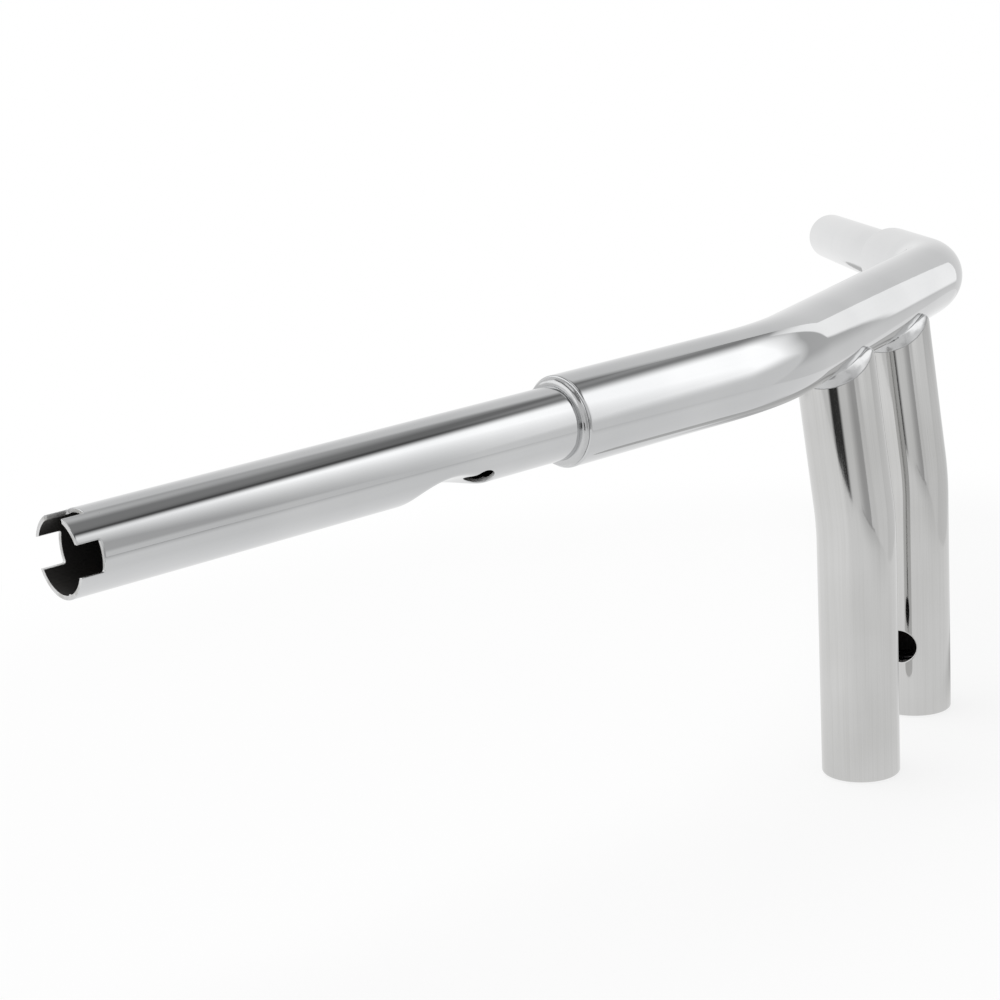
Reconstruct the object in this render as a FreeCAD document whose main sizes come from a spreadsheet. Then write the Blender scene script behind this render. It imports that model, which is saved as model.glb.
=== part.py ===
import FreeCAD, Part
import Sketcher
import os

V = FreeCAD.Vector

# Driving dimensions, in millimetres and degrees.
DRIVING = {
    # thick centre tube
    "bar_od": 31.75,
    "bar_flat": 99.0,
    "bar_bend_radius": 115.0,
    "bar_sweep": 25.3,
    "bar_drop": 5.6,
    "bar_arm": 77.7,
    "bar_edge_break": 0.8,
    # hand tubes
    "grip_od": 25.4,
    "grip_wall": 1.65,
    "grip_reach": 191.7,
    "grip_insert": 45.0,
    "grip_fit": 0.2,
    "spigot_relief": 0.2,
    "spigot_land": 2.0,
    "ream_dia": 22.6,
    "ream_depth": 60.0,
    "notch_width": 9.5,
    "notch_depth": 7.5,
    "notch_turn": -3.0,
    "dimple_place": 138.5,
    "dimple_depth": 4.1,
    "dimple_radius": 30.0,
    "dimple_turn": 12.0,
    "grip_hole_place": 148.0,
    "grip_hole_turn": 28.0,
    "wire_hole_dia": 14.0,
    # risers
    "riser_od": 31.75,
    "riser_wall": 3.175,
    "riser_spacing": 88.9,
    "riser_foot": 96.0,
    "riser_bend_radius": 150.0,
    "riser_lean": 6.4,
    "riser_neck": 69.3,
    "riser_trim": 4.0,
    "riser_foot_break": 1.2,
    "riser_hole_height": 31.6,
    "riser_hole_turn": 8.0,
    "passage_dia": 19.0,
    # threaded plugs in the riser feet
    "bung_length": 22.0,
    "bolt_hole_dia": 10.72,
    # beads
    "step_weld_leg": 2.2,
    "step_weld_run": 1.5,
    "step_weld_crown": 0.68,
    "riser_weld_leg": 3.5,
    "riser_weld_reach": 0.96,
}

# Sizes that follow from the driving ones.
DERIVED = {
    "spigot_dia": "grip_od - 2 * spigot_relief",
    "bar_bore": "spigot_dia + 2 * grip_fit",
    "bar_back": "-riser_bend_radius * (1 - cos(riser_lean * 1 deg)) - riser_neck * sin(riser_lean * 1 deg)",
    "bar_height": "riser_foot + riser_bend_radius * sin(riser_lean * 1 deg) + riser_neck * cos(riser_lean * 1 deg)",
    "step_x": "bar_flat + bar_bend_radius * sin(bar_sweep * 1 deg) + bar_arm * cos(bar_sweep * 1 deg)",
    "step_y": "-bar_bend_radius * (1 - cos(bar_sweep * 1 deg)) - bar_arm * sin(bar_sweep * 1 deg)",
    "grip_end_x": "step_x + grip_reach * cos(bar_sweep * 1 deg)",
    "grip_end_y": "step_y - grip_reach * sin(bar_sweep * 1 deg)",
    "grip_bore": "grip_od - 2 * grip_wall",
    "riser_bore": "riser_od - 2 * riser_wall",
    "dimple_reach": "grip_od / 2 - dimple_depth + dimple_radius",
    "riser_weld_major": "(riser_od / 2 + bar_od / 2 + riser_weld_leg) / sqrt(2)",
    "riser_weld_minor": "min(riser_od; bar_od) / 2",
}

SIDES = {"right": 1, "left": -1}
NOTCH_ANGLES = (90, 180, 270)
OVERRUN = 2.0

doc = FreeCAD.newDocument("Handlebar")
sheet = doc.addObject("Spreadsheet::Sheet", "Sizes")
nodes = []


def fill_sheet():
    """Write every dimension to a named cell."""
    for row, (name, value) in enumerate(DRIVING.items(), start=1):
        sheet.set(f"A{row}", name)
        sheet.set(f"B{row}", str(value))
        sheet.setAlias(f"B{row}", name)
    for row, (name, formula) in enumerate(DERIVED.items(), start=1):
        sheet.set(f"D{row}", name)
        sheet.set(f"E{row}", "=" + formula)
        sheet.setAlias(f"E{row}", name)
    doc.recompute()


def size(name):
    """Value of a named cell."""
    return float(sheet.get(name))


def bound(text):
    """Expression text with every cell name pointed at the sheet."""
    for name in sorted([*DRIVING, *DERIVED], key=len, reverse=True):
        text = text.replace(f"[{name}]", f"Sizes.{name}")
    return text


def bind(item, **expressions):
    """Bind properties of an object to expressions of named cells."""
    for name, text in expressions.items():
        item.setExpression(name, bound(text))
    return item


def place(item, *steps):
    """Bind a placement made of steps, each a position and a turn about an axis."""
    parts = []
    for position, axis, angle in steps:
        where = "vector({}; {}; {})".format(*position)
        turn = "rotation(vector({}; {}; {}); {})".format(*axis, angle)
        parts.append(f"placement({where}; {turn})")
    item.setExpression("Placement", bound(" * ".join(parts)))
    return item


def new_body(label):
    """Empty body that carries a node's name."""
    body = doc.addObject("PartDesign::Body", label)
    body.Label = label
    return body


def plane_of(body, role):
    """One of a body's own origin planes."""
    return next(item for item in body.Origin.OriginFeatures if item.Role == role)


def new_sketch(body, name, role):
    """Sketch attached to one of the body's origin planes."""
    sketch = body.newObject("Sketcher::SketchObject", name)
    sketch.AttachmentSupport = [(plane_of(body, role), "")]
    sketch.MapMode = "FlatFace"
    return sketch


def drive(sketch, label, expression, *constraint):
    """Add a dimension to a sketch and bind it to an expression."""
    index = sketch.addConstraint(Sketcher.Constraint(*constraint))
    sketch.renameConstraint(index, label)
    sketch.setExpression(f"Constraints.{label}", bound(expression))


def ring_sketch(body, name, role, outer, inner, offset=None):
    """Two circles about the origin: a tube's cross-section."""
    sketch = new_sketch(body, name, role)
    if offset:
        sketch.setExpression("AttachmentOffset", bound(offset))
    for index, (label, cell) in enumerate((("outside", outer), ("inside", inner))):
        sketch.addGeometry(Part.Circle(V(), V(0, 0, 1), size(cell) / 2))
        sketch.addConstraint(Sketcher.Constraint("Coincident", index, 3, -1, 1))
        drive(sketch, label, f"[{cell}]", "Diameter", index, size(cell))
    return sketch


def circle_sketch(body, name, role, places, diameter):
    """Circles of one diameter, each at bound distances from the origin."""
    sketch = new_sketch(body, name, role)
    for index, (x, y) in enumerate(places):
        spot = V(sheet_value(x), sheet_value(y), 0)
        sketch.addGeometry(Part.Circle(spot, V(0, 0, 1), size(diameter) / 2))
        drive(sketch, f"across_{index}", x, "DistanceX", -1, 1, index, 3, spot.x)
        drive(sketch, f"along_{index}", y, "DistanceY", -1, 1, index, 3, spot.y)
        drive(sketch, f"width_{index}", f"[{diameter}]", "Diameter", index, size(diameter))
    return sketch


def sheet_value(expression):
    """Number that a simple signed, scaled cell expression stands for."""
    text = expression.strip()
    factor = 1.0
    if text.startswith("-"):
        factor = -1.0
        text = text[1:]
    if text.endswith("/ 2"):
        factor /= 2
        text = text[:-3].strip()
    return factor * (size(text[1:-1]) if text.startswith("[") else float(text))


def bent_tube(body, role, spin, section, run, bend, last):
    """Tube that runs straight, turns once and runs straight again.

    The tube leaves its first plane along the plane's normal and bends towards the plane's own -X.
    """
    radius, angle = bend
    start = f"placement(vector(0; 0; 0); rotation(vector(0; 0; 1); {spin}))"
    at_bend = f"{start} * placement(vector(0; 0; {run}); rotation(vector(0; 0; 1); 0))"
    drop = f"-{radius} * (1 - cos({angle} * 1 deg))"
    rise = f"{run} + {radius} * sin({angle} * 1 deg)"
    past_bend = f"{start} * placement(vector({drop}; 0; {rise}); rotation(vector(0; 1; 0); -{angle}))"
    first = pad(body, ring_sketch(body, "first_section", role, *section, offset=start), run)
    turn_section = ring_sketch(body, "turn_section", role, *section, offset=at_bend)
    reach = sheet_value(radius)
    pivot = turn_section.addGeometry(Part.LineSegment(V(-reach, -1, 0), V(-reach, 1, 0)), True)
    turn_section.addConstraint(Sketcher.Constraint("Symmetric", pivot, 1, pivot, 2, -1))
    drive(turn_section, "pivot_length", "2", "Distance", pivot, 2)
    drive(turn_section, "pivot_reach", f"-{radius}", "DistanceX", -1, 1, pivot, 1, -reach)
    turn = body.newObject("PartDesign::Revolution", "turn")
    turn.Profile = turn_section
    turn.ReferenceAxis = (turn_section, ["Axis0"])
    turn.Reversed = True
    bind(turn, Angle=angle)
    doc.recompute()
    end = pad(body, ring_sketch(body, "last_section", role, *section, offset=past_bend), last)
    return [first, turn, end]


def pad(body, sketch, length):
    """Push a sketch out of its plane."""
    feature = body.newObject("PartDesign::Pad", "run")
    feature.Profile = sketch
    bind(feature, Length=length)
    doc.recompute()
    return feature


def pocket(body, sketch, length, reversed_way=False, both_ways=False):
    """Cut a sketch out of a body."""
    feature = body.newObject("PartDesign::Pocket", "cut")
    feature.Profile = sketch
    feature.Reversed = reversed_way
    if both_ways:
        feature.SideType = "Symmetric"
    bind(feature, Length=length)
    before = body.Shape.Volume
    doc.recompute()
    if not body.Shape.Volume < before:
        raise ValueError(f"{body.Label}: a cut removed nothing")
    return feature


def break_edges(body, chosen, width):
    """Bevel the edges of the body's last feature that a test picks."""
    base = body.Tip
    names = [f"Edge{n}" for n, edge in enumerate(base.Shape.Edges, start=1) if chosen(edge)]
    feature = body.newObject("PartDesign::Chamfer", "edge_break")
    feature.Base = (base, names)
    bind(feature, Size=width)
    doc.recompute()
    return feature


def is_circle(edge, radius):
    """True for a circular edge of the given radius."""
    curve = edge.Curve
    return isinstance(curve, Part.Circle) and abs(curve.Radius - radius) < 0.01


def make_crossbar():
    """Thick bent tube with two wire passages into the risers."""
    body = new_body("crossbar")
    bend = ("[bar_bend_radius]", "[bar_sweep]")
    half = bent_tube(body, "YZ_Plane", "0", ("bar_od", "bar_bore"), "[bar_flat]", bend, "[bar_arm]")
    whole = body.newObject("PartDesign::Mirrored", "both_halves")
    whole.Originals = half
    whole.MirrorPlane = (plane_of(body, "YZ_Plane"), [""])
    body.Tip = whole
    doc.recompute()
    spots = [("[riser_spacing] / 2", "0"), ("-[riser_spacing] / 2", "0")]
    passages = circle_sketch(body, "passages", "XY_Plane", spots, "passage_dia")
    turn = "rotation(vector(1; 0; 0); [riser_lean] - [bar_drop])"
    passages.setExpression("AttachmentOffset", bound(f"placement(vector(0; 0; 0); {turn})"))
    pocket(body, passages, "[bar_od]")
    end = size("step_x") - size("bar_od")
    radius = size("bar_od") / 2
    break_edges(body, lambda edge: is_circle(edge, radius) and abs(edge.CenterOfMass.x) > end, "[bar_edge_break]")
    place(body, (("0", "[bar_back]", "[bar_height]"), (1, 0, 0), "[bar_drop]"))
    nodes.append(body)


def make_riser(side, sign):
    """Bent tube, coped to the crossbar, with a wire hole that faces the other riser."""
    body = new_body(f"{side}_riser")
    bend = ("[riser_bend_radius]", "[riser_lean]")
    neck = "[riser_neck] - [riser_trim]"
    bent_tube(body, "XY_Plane", "90", ("riser_od", "riser_bore"), "[riser_foot]", bend, neck)
    cope = circle_sketch(body, "cope", "YZ_Plane", [("[bar_back]", "[bar_height]")], "bar_od")
    pocket(body, cope, "2 * [riser_od]", both_ways=True)
    hole = circle_sketch(body, "wire_hole", "YZ_Plane", [("0", "[riser_hole_height]")], "wire_hole_dia")
    turn = f"rotation(vector(0; 1; 0); {sign} * [riser_hole_turn])"
    hole.setExpression("AttachmentOffset", bound(f"placement(vector(0; 0; 0); {turn})"))
    pocket(body, hole, "[riser_od]", reversed_way=sign < 0)
    radius = size("riser_od") / 2
    break_edges(body, lambda edge: is_circle(edge, radius) and edge.CenterOfMass.z < 1, "[riser_foot_break]")
    place(body, ((f"{sign} * [riser_spacing] / 2", "0", "0"), (0, 0, 1), "0"))
    nodes.append(body)


def make_bung(side, sign):
    """Plug in the riser's foot with a hole for the clamp bolt."""
    body = new_body(f"{side}_bung")
    section = ring_sketch(body, "bung_section", "XY_Plane", "riser_bore", "bolt_hole_dia")
    pad(body, section, "[bung_length]")
    place(body, ((f"{sign} * [riser_spacing] / 2", "0", "0"), (0, 0, 1), "0"))
    nodes.append(body)


def cylinder(name, radius, height, *steps):
    """Cylinder bound to named cells."""
    item = doc.addObject("Part::Cylinder", name)
    bind(item, Radius=radius, Height=height)
    return place(item, *steps)


def box(name, length, width, height, *steps):
    """Box bound to named cells."""
    item = doc.addObject("Part::Box", name)
    bind(item, Length=length, Width=width, Height=height)
    return place(item, *steps)


def cut(name, base, *tools):
    """Base without the tools."""
    tool = tools[0]
    if len(tools) > 1:
        tool = doc.addObject("Part::MultiFuse", name + "_tools")
        tool.Shapes = list(tools)
    item = doc.addObject("Part::Cut", name)
    item.Label = name
    item.Base = base
    item.Tool = tool
    return item


def on_bar(sign, x, y):
    """Steps from the row's frame to a tube end on the bar, with Z along the tube and X to the front."""
    half_turn = "0" if sign > 0 else "180"
    return (
        (("0", "[bar_back]", "[bar_height]"), (1, 0, 0), "[bar_drop]"),
        ((f"{sign} * {x}", y, "0"), (0, 0, 1), f"{-sign} * [bar_sweep]"),
        (("0", "0", "0"), (0, 1, 0), half_turn),
        (("0", "0", "0"), (1, 1, 1), "120"),
    )


def around(sign, angle):
    """Turn about the tube from its front to an angle counted from its underside to the front."""
    return (("0", "0", "0"), (0, 0, 1), f"{-sign} * (90 - ({angle}))")


def dimple_tool(side, sign, name, radius):
    """Crosswise cylinder that presses the dimple."""
    seat = ("[dimple_reach]", "-[grip_od]", "-[dimple_place]")
    return cylinder(f"{side}_{name}", radius, "2 * [grip_od]", around(sign, "[dimple_turn]"), (seat, (1, 0, 0), "-90"))


def make_grip(side, sign):
    """Hand tube with a dimple and a wire hole, and notches in the right-hand end."""
    level = ((0, 0, 1), "0")
    inner_end = "-[grip_reach] - [grip_insert]"
    hand = cylinder(f"{side}_hand_length", "[grip_od] / 2", "[grip_reach] - [spigot_land]",
                    (("0", "0", "-[grip_reach] + [spigot_land]"), *level))
    spigot = cylinder(f"{side}_spigot", "[spigot_dia] / 2", "[grip_insert] + [spigot_land]",
                      (("0", "0", inner_end), *level))
    rod = doc.addObject("Part::MultiFuse", f"{side}_rod")
    rod.Shapes = [hand, spigot]
    core = cylinder(f"{side}_core", "[grip_bore] / 2", f"[grip_reach] + [grip_insert] + {OVERRUN}",
                    (("0", "0", f"{inner_end} - {OVERRUN / 2}"), *level))
    ream = cylinder(f"{side}_ream", "[ream_dia] / 2", f"[ream_depth] + {OVERRUN}",
                    (("0", "0", "-[ream_depth]"), *level))
    press = dimple_tool(side, sign, "press", "[dimple_radius]")
    floor = dimple_tool(side, sign, "floor", "[dimple_radius] + [grip_wall]")
    pressed_rod = cut(f"{side}_pressed_rod", rod, press)
    pressed_core = cut(f"{side}_pressed_core", core, floor)
    tube = cut(f"{side}_tube", pressed_rod, pressed_core)
    drill = cylinder(f"{side}_drill", "[wire_hole_dia] / 2", "[grip_od]", around(sign, "[grip_hole_turn]"),
                     (("0", "0", "-[grip_hole_place]"), (0, 1, 0), "90"))
    tools = [drill, ream]
    if side == "right":
        for angle in NOTCH_ANGLES:
            corner = ("0", "-[notch_width] / 2", "-[notch_depth]")
            tools.append(box(f"notch_{angle}", "[grip_od]", "[notch_width]", f"[notch_depth] + {OVERRUN}",
                             around(sign, f"{angle} + [notch_turn]"), (corner, *level)))
    node = cut(f"{side}_grip_tube", tube, *tools)
    place(node, *on_bar(sign, "[grip_end_x]", "[grip_end_y]"))
    nodes.append(node)


def make_step_weld(side, sign):
    """Ring bead in the corner between the hand tube and the end of the thick tube."""
    body = new_body(f"{side}_step_weld")
    root, leg, run = size("spigot_dia") / 2, size("step_weld_leg"), size("step_weld_run")
    crown = size("step_weld_crown")
    corners = [V(root, 0, 0), V(root + leg, 0, 0), V(root + crown * leg, crown * run, 0), V(root, run, 0)]
    sketch = new_sketch(body, "bead_section", "XZ_Plane")
    for index, corner in enumerate(corners):
        sketch.addGeometry(Part.LineSegment(corner, corners[(index + 1) % 4]))
    for index in range(4):
        sketch.addConstraint(Sketcher.Constraint("Coincident", index, 2, (index + 1) % 4, 1))
    sketch.addConstraint(Sketcher.Constraint("PointOnObject", 0, 1, -1))
    sketch.addConstraint(Sketcher.Constraint("Horizontal", 0))
    sketch.addConstraint(Sketcher.Constraint("Vertical", 3))
    drive(sketch, "root", "[spigot_dia] / 2", "DistanceX", -1, 1, 0, 1, root)
    drive(sketch, "leg", "[step_weld_leg]", "Distance", 0, leg)
    drive(sketch, "run", "[step_weld_run]", "Distance", 3, run)
    across, along = "[step_weld_crown] * [step_weld_leg]", "[step_weld_crown] * [step_weld_run]"
    drive(sketch, "crown_across", across, "DistanceX", 0, 1, 1, 2, crown * leg)
    drive(sketch, "crown_along", along, "DistanceY", 0, 1, 1, 2, crown * run)
    bead = body.newObject("PartDesign::Revolution", "bead")
    bead.Profile = sketch
    bead.ReferenceAxis = (sketch, ["V_Axis"])
    bead.Angle = 360
    doc.recompute()
    place(body, *on_bar(sign, "[step_x]", "[step_y]"))
    nodes.append(body)


def make_riser_weld(side, sign, name, way):
    """Fillet bead on one flank of the saddle between riser and crossbar."""
    tag = f"{side}_{name}"
    tilt = (("0", "0", "0"), (0, 1, 0), f"90 - {way} * 45")
    oval = doc.addObject("Part::Ellipse", tag + "_oval")
    bind(oval, MajorRadius="[riser_weld_major]", MinorRadius="[riser_weld_minor]")
    place(oval, tilt)
    face = doc.addObject("Part::Extrusion", tag + "_face")
    face.Base = oval
    face.DirMode = "Normal"
    face.Symmetric = True
    face.Solid = True
    bind(face, LengthFwd="4 * [riser_weld_leg]")
    reach = "[riser_weld_minor] * [riser_weld_reach]"
    corner = ("1", f"-{reach}", "-[riser_weld_leg]")
    limit = box(tag + "_limit", "2 * [riser_weld_major]", f"2 * {reach}", "2 * [riser_weld_leg]",
                tilt, (corner, (0, 0, 1), "0"))
    blank = doc.addObject("Part::Common", tag + "_blank")
    blank.Base = face
    blank.Tool = limit
    bar = cylinder(tag + "_bar", "[bar_od] / 2", "4 * [riser_od]",
                   (("-2 * [riser_od]", "0", "0"), (0, 1, 0), "90"))
    riser = cylinder(tag + "_riser", "[riser_od] / 2", "4 * [bar_od]", (("0", "0", "-2 * [bar_od]"), (0, 0, 1), "0"))
    node = cut(tag + "_weld", blank, bar, riser)
    place(node, ((f"{sign} * [riser_spacing] / 2", "[bar_back]", "[bar_height]"), (1, 0, 0), "[riser_lean]"))
    nodes.append(node)


def write_nodes():
    """Check every object and write one file for each node."""
    for item in doc.Objects:
        if {"Invalid", "Error"} & set(item.State):
            raise ValueError(f"{item.Label} did not build: {item.State}")
    os.makedirs("parts", exist_ok=True)
    for node in nodes:
        shape = node.Shape
        if shape.isNull() or not shape.isValid() or len(shape.Solids) != 1:
            raise ValueError(f"{node.Label} is not one valid solid")
        shape.exportStep(f"parts/{node.Label}.step")


fill_sheet()
make_crossbar()
for side_name, side_sign in SIDES.items():
    make_grip(side_name, side_sign)
    make_step_weld(side_name, side_sign)
    make_riser(side_name, side_sign)
    make_bung(side_name, side_sign)
    make_riser_weld(side_name, side_sign, "outer", side_sign)
    make_riser_weld(side_name, side_sign, "inner", -side_sign)
doc.recompute()
write_nodes()
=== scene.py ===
"""Bright plated motorcycle handlebar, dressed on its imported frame."""
import logging
import math
from dataclasses import dataclass, field
from enum import Enum
from typing import Any, Callable, Dict, List, Optional, Sequence, Tuple, Union

import bmesh
import bpy
from mathutils import Matrix, Vector, noise
from mathutils.geometry import delaunay_2d_cdt


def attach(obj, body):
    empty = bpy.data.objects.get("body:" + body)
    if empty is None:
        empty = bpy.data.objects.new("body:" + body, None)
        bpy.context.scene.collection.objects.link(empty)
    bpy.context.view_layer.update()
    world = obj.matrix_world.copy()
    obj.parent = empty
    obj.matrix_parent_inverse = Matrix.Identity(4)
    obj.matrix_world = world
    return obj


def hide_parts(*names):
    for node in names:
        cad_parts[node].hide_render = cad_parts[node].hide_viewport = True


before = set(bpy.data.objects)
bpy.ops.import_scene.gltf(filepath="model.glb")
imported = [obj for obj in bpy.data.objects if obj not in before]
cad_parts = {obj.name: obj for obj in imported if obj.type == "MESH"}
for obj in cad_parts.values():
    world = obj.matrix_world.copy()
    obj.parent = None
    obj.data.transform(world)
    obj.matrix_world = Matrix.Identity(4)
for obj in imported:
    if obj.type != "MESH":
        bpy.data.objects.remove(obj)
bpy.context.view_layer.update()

Spot = Tuple[float, float]
Point = Tuple[float, float, float]
Colour = Tuple[float, float, float]
Ring = Tuple[List[Spot], float]
Number = Union[float, "Value"]
Settings = Optional[Dict[str, Any]]
Inputs = Optional[Dict[Any, Any]]
Dress = Dict[str, bpy.types.Material]

LOG = logging.getLogger("handlebar")
MM = 0.001
TURN = 2 * math.pi
QUARTER = math.pi / 2
BLACK: Colour = (0.0, 0.0, 0.0)
WHITE: Colour = (1.0, 1.0, 1.0)
# Radii of the crossbar and the risers, and the distance between the risers, in millimetres.
THICK_OUTER = 15.875
THICK_INNER = 12.7
RISER_SPACING = 88.9


class Named(Enum):
    """Choice whose name is a word in the names of pieces."""

    @property
    def label(self) -> str:
        """Word used in names."""
        return self.name.lower()


class Side(Named):
    """Hand of the rider that a piece belongs to."""

    RIGHT = 1
    LEFT = -1

    @property
    def mirror(self) -> Matrix:
        """Matrix that takes the right-hand shape to this side."""
        return Matrix.Diagonal((float(self.value), 1.0, 1.0, 1.0))


class Flank(Named):
    """Flank of a riser: away from the other riser, or facing it."""

    OUTER = 1.0
    INNER = -1.0


class Slot(Enum):
    """Finish slots of the record."""

    TUBE = "plated_tube"
    WELD = "plated_weld"
    BUNG = "bung_steel"


class Surface(Enum):
    """Kinds of surface on a cut tube."""

    SKIN = "skin"
    BORE = "bore"
    CUT = "cut"


class Value:
    """Number carried by a node socket, for use in Python expressions."""

    def __init__(self, graph: "Graph", socket: bpy.types.NodeSocket) -> None:
        """Wrap a socket of a graph."""
        self.graph = graph
        self.socket = socket

    def math(self, operation: str, *others: Number) -> "Value":
        """Result of a Math node with this number first."""
        return self.graph.math(operation, self, *others)

    def __add__(self, other: Number) -> "Value":
        """Sum."""
        return self.math("ADD", other)

    def __radd__(self, other: Number) -> "Value":
        """Sum with this number second."""
        return self.graph.math("ADD", other, self)

    def __sub__(self, other: Number) -> "Value":
        """Difference."""
        return self.math("SUBTRACT", other)

    def __rsub__(self, other: Number) -> "Value":
        """Difference with this number second."""
        return self.graph.math("SUBTRACT", other, self)

    def __mul__(self, other: Number) -> "Value":
        """Product."""
        return self.math("MULTIPLY", other)

    def __rmul__(self, other: Number) -> "Value":
        """Product with this number second."""
        return self.graph.math("MULTIPLY", other, self)

    def __truediv__(self, other: Number) -> "Value":
        """Quotient."""
        return self.math("DIVIDE", other)

    def __rtruediv__(self, other: Number) -> "Value":
        """Quotient with this number below the line."""
        return self.graph.math("DIVIDE", other, self)

    def at_least(self, other: Number) -> "Value":
        """Larger of the two numbers."""
        return self.math("MAXIMUM", other)

    def at_most(self, other: Number) -> "Value":
        """Smaller of the two numbers."""
        return self.math("MINIMUM", other)

    def step(self, start: float, end: float) -> "Value":
        """Smooth rise from 0 at start to 1 at end, which may be the smaller of the two."""
        inputs = {"Value": self, "From Min": start, "From Max": end}
        return self.graph.value("ShaderNodeMapRange", {"interpolation_type": "SMOOTHSTEP"}, inputs)

    def blend(self, other: Number, share: "Value") -> "Value":
        """This number, replaced by another in the given share."""
        return self * (1.0 - share) + share * other


class Graph:
    """Adds nodes to one node tree."""

    def __init__(self, tree: bpy.types.NodeTree) -> None:
        """Start on a tree."""
        self.tree = tree

    def node(self, kind: str, settings: Settings = None, inputs: Inputs = None) -> bpy.types.Node:
        """Add a node.

        Args:
            kind: type of the node.
            settings: properties that are set before the sockets.
            inputs: values or links, by name or number of the socket.

        Returns:
            The node.
        """
        node = self.tree.nodes.new(kind)
        for name, setting in (settings or {}).items():
            setattr(node, name, setting)
        for key, item in (inputs or {}).items():
            source = item.socket if isinstance(item, Value) else item
            if isinstance(source, bpy.types.NodeSocket):
                self.tree.links.new(source, node.inputs[key])
            else:
                node.inputs[key].default_value = source
        return node

    def value(self, kind: str, settings: Settings = None, inputs: Inputs = None) -> Value:
        """Wrapped first output of a new node."""
        return Value(self, self.node(kind, settings, inputs).outputs[0])

    def math(self, operation: str, *terms: Number) -> Value:
        """Result of a Math node on the given terms."""
        return self.value("ShaderNodeMath", {"operation": operation}, dict(enumerate(terms)))

    def split(self, vector: Union[Value, bpy.types.NodeSocket]) -> Tuple[Value, Value, Value]:
        """The three numbers of a vector."""
        node = self.node("ShaderNodeSeparateXYZ", None, {0: vector})
        return tuple(Value(self, socket) for socket in node.outputs)

    def mix_colour(self, share: Number, first: Any, second: Any) -> Value:
        """Colour between two colours.

        Args:
            share: 0 for the first colour, 1 for the second.
            first: a colour, or a wrapped socket that carries one.
            second: the other colour.

        Returns:
            The mixed colour.
        """
        a, b = (end if isinstance(end, Value) else (*end, 1.0) for end in (first, second))
        colours = {"Factor": share, 6: a, 7: b}
        return Value(self, self.node("ShaderNodeMix", {"data_type": "RGBA"}, colours).outputs[2])

    def grey(self, level: Value) -> Value:
        """Grey colour of a level between 0 and 1."""
        return self.mix_colour(level, BLACK, WHITE)

    def stretched(self, vector: bpy.types.NodeSocket, factors: Point) -> Value:
        """Vector with each of its numbers scaled."""
        inputs = {0: vector, 1: factors}
        return self.value("ShaderNodeVectorMath", {"operation": "MULTIPLY"}, inputs)

    def cloud(self, vector: Any, scale: float, detail: float = 2.0, rough: float = 0.5) -> Value:
        """Noise between 0 and 1."""
        inputs = {"Vector": vector, "Scale": scale, "Detail": detail, "Roughness": rough}
        return self.value("ShaderNodeTexNoise", None, inputs)

    def rays(self, *kinds: str) -> List[Value]:
        """Light Path's answers to whether a ray is of each kind."""
        path = self.node("ShaderNodeLightPath").outputs
        return [Value(self, path[f"Is {kind} Ray"]) for kind in kinds]

    def close(self, last: bpy.types.Node, out: bpy.types.Node) -> None:
        """Link the last shader to the output node."""
        self.tree.links.new(last.outputs[0], out.inputs[0])


def new_material(name: str) -> Tuple[bpy.types.Material, Graph, bpy.types.Node]:
    """Empty node material.

    Args:
        name: name of the material.

    Returns:
        The material, its graph and its output node.
    """
    material = bpy.data.materials.new(name)
    material.use_nodes = True
    material.node_tree.nodes.clear()
    graph = Graph(material.node_tree)
    return material, graph, graph.node("ShaderNodeOutputMaterial")


def linked(name: str, data: bpy.types.ID) -> bpy.types.Object:
    """Put a new object in the scene.

    Args:
        name: name of the object.
        data: its mesh, light or camera.

    Returns:
        The object.
    """
    made = bpy.data.objects.new(name, data)
    bpy.context.scene.collection.objects.link(made)
    return made


@dataclass(frozen=True)
class Look:
    """What a finish feeds its metal shader."""

    colour: Value
    rough: Value
    relief: Value
    depth: float
    metallic: float = 1.0


class Finish:
    """Metal finish with a fine relief."""

    name: str

    def look(self, graph: Graph) -> Look:
        """Colour, roughness and relief of the finish."""
        raise NotImplementedError

    def material(self) -> bpy.types.Material:
        """Make the finish.

        Returns:
            Its material.
        """
        material, graph, out = new_material(self.name)
        look = self.look(graph)
        bump = graph.node("ShaderNodeBump", None, {
            "Strength": 1.0, "Distance": look.depth, "Height": look.relief})
        shader = graph.node("ShaderNodeBsdfPrincipled", None, {
            "Base Color": look.colour, "Metallic": look.metallic, "Roughness": look.rough,
            "Normal": bump.outputs[0]})
        graph.close(shader, out)
        return material


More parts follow.
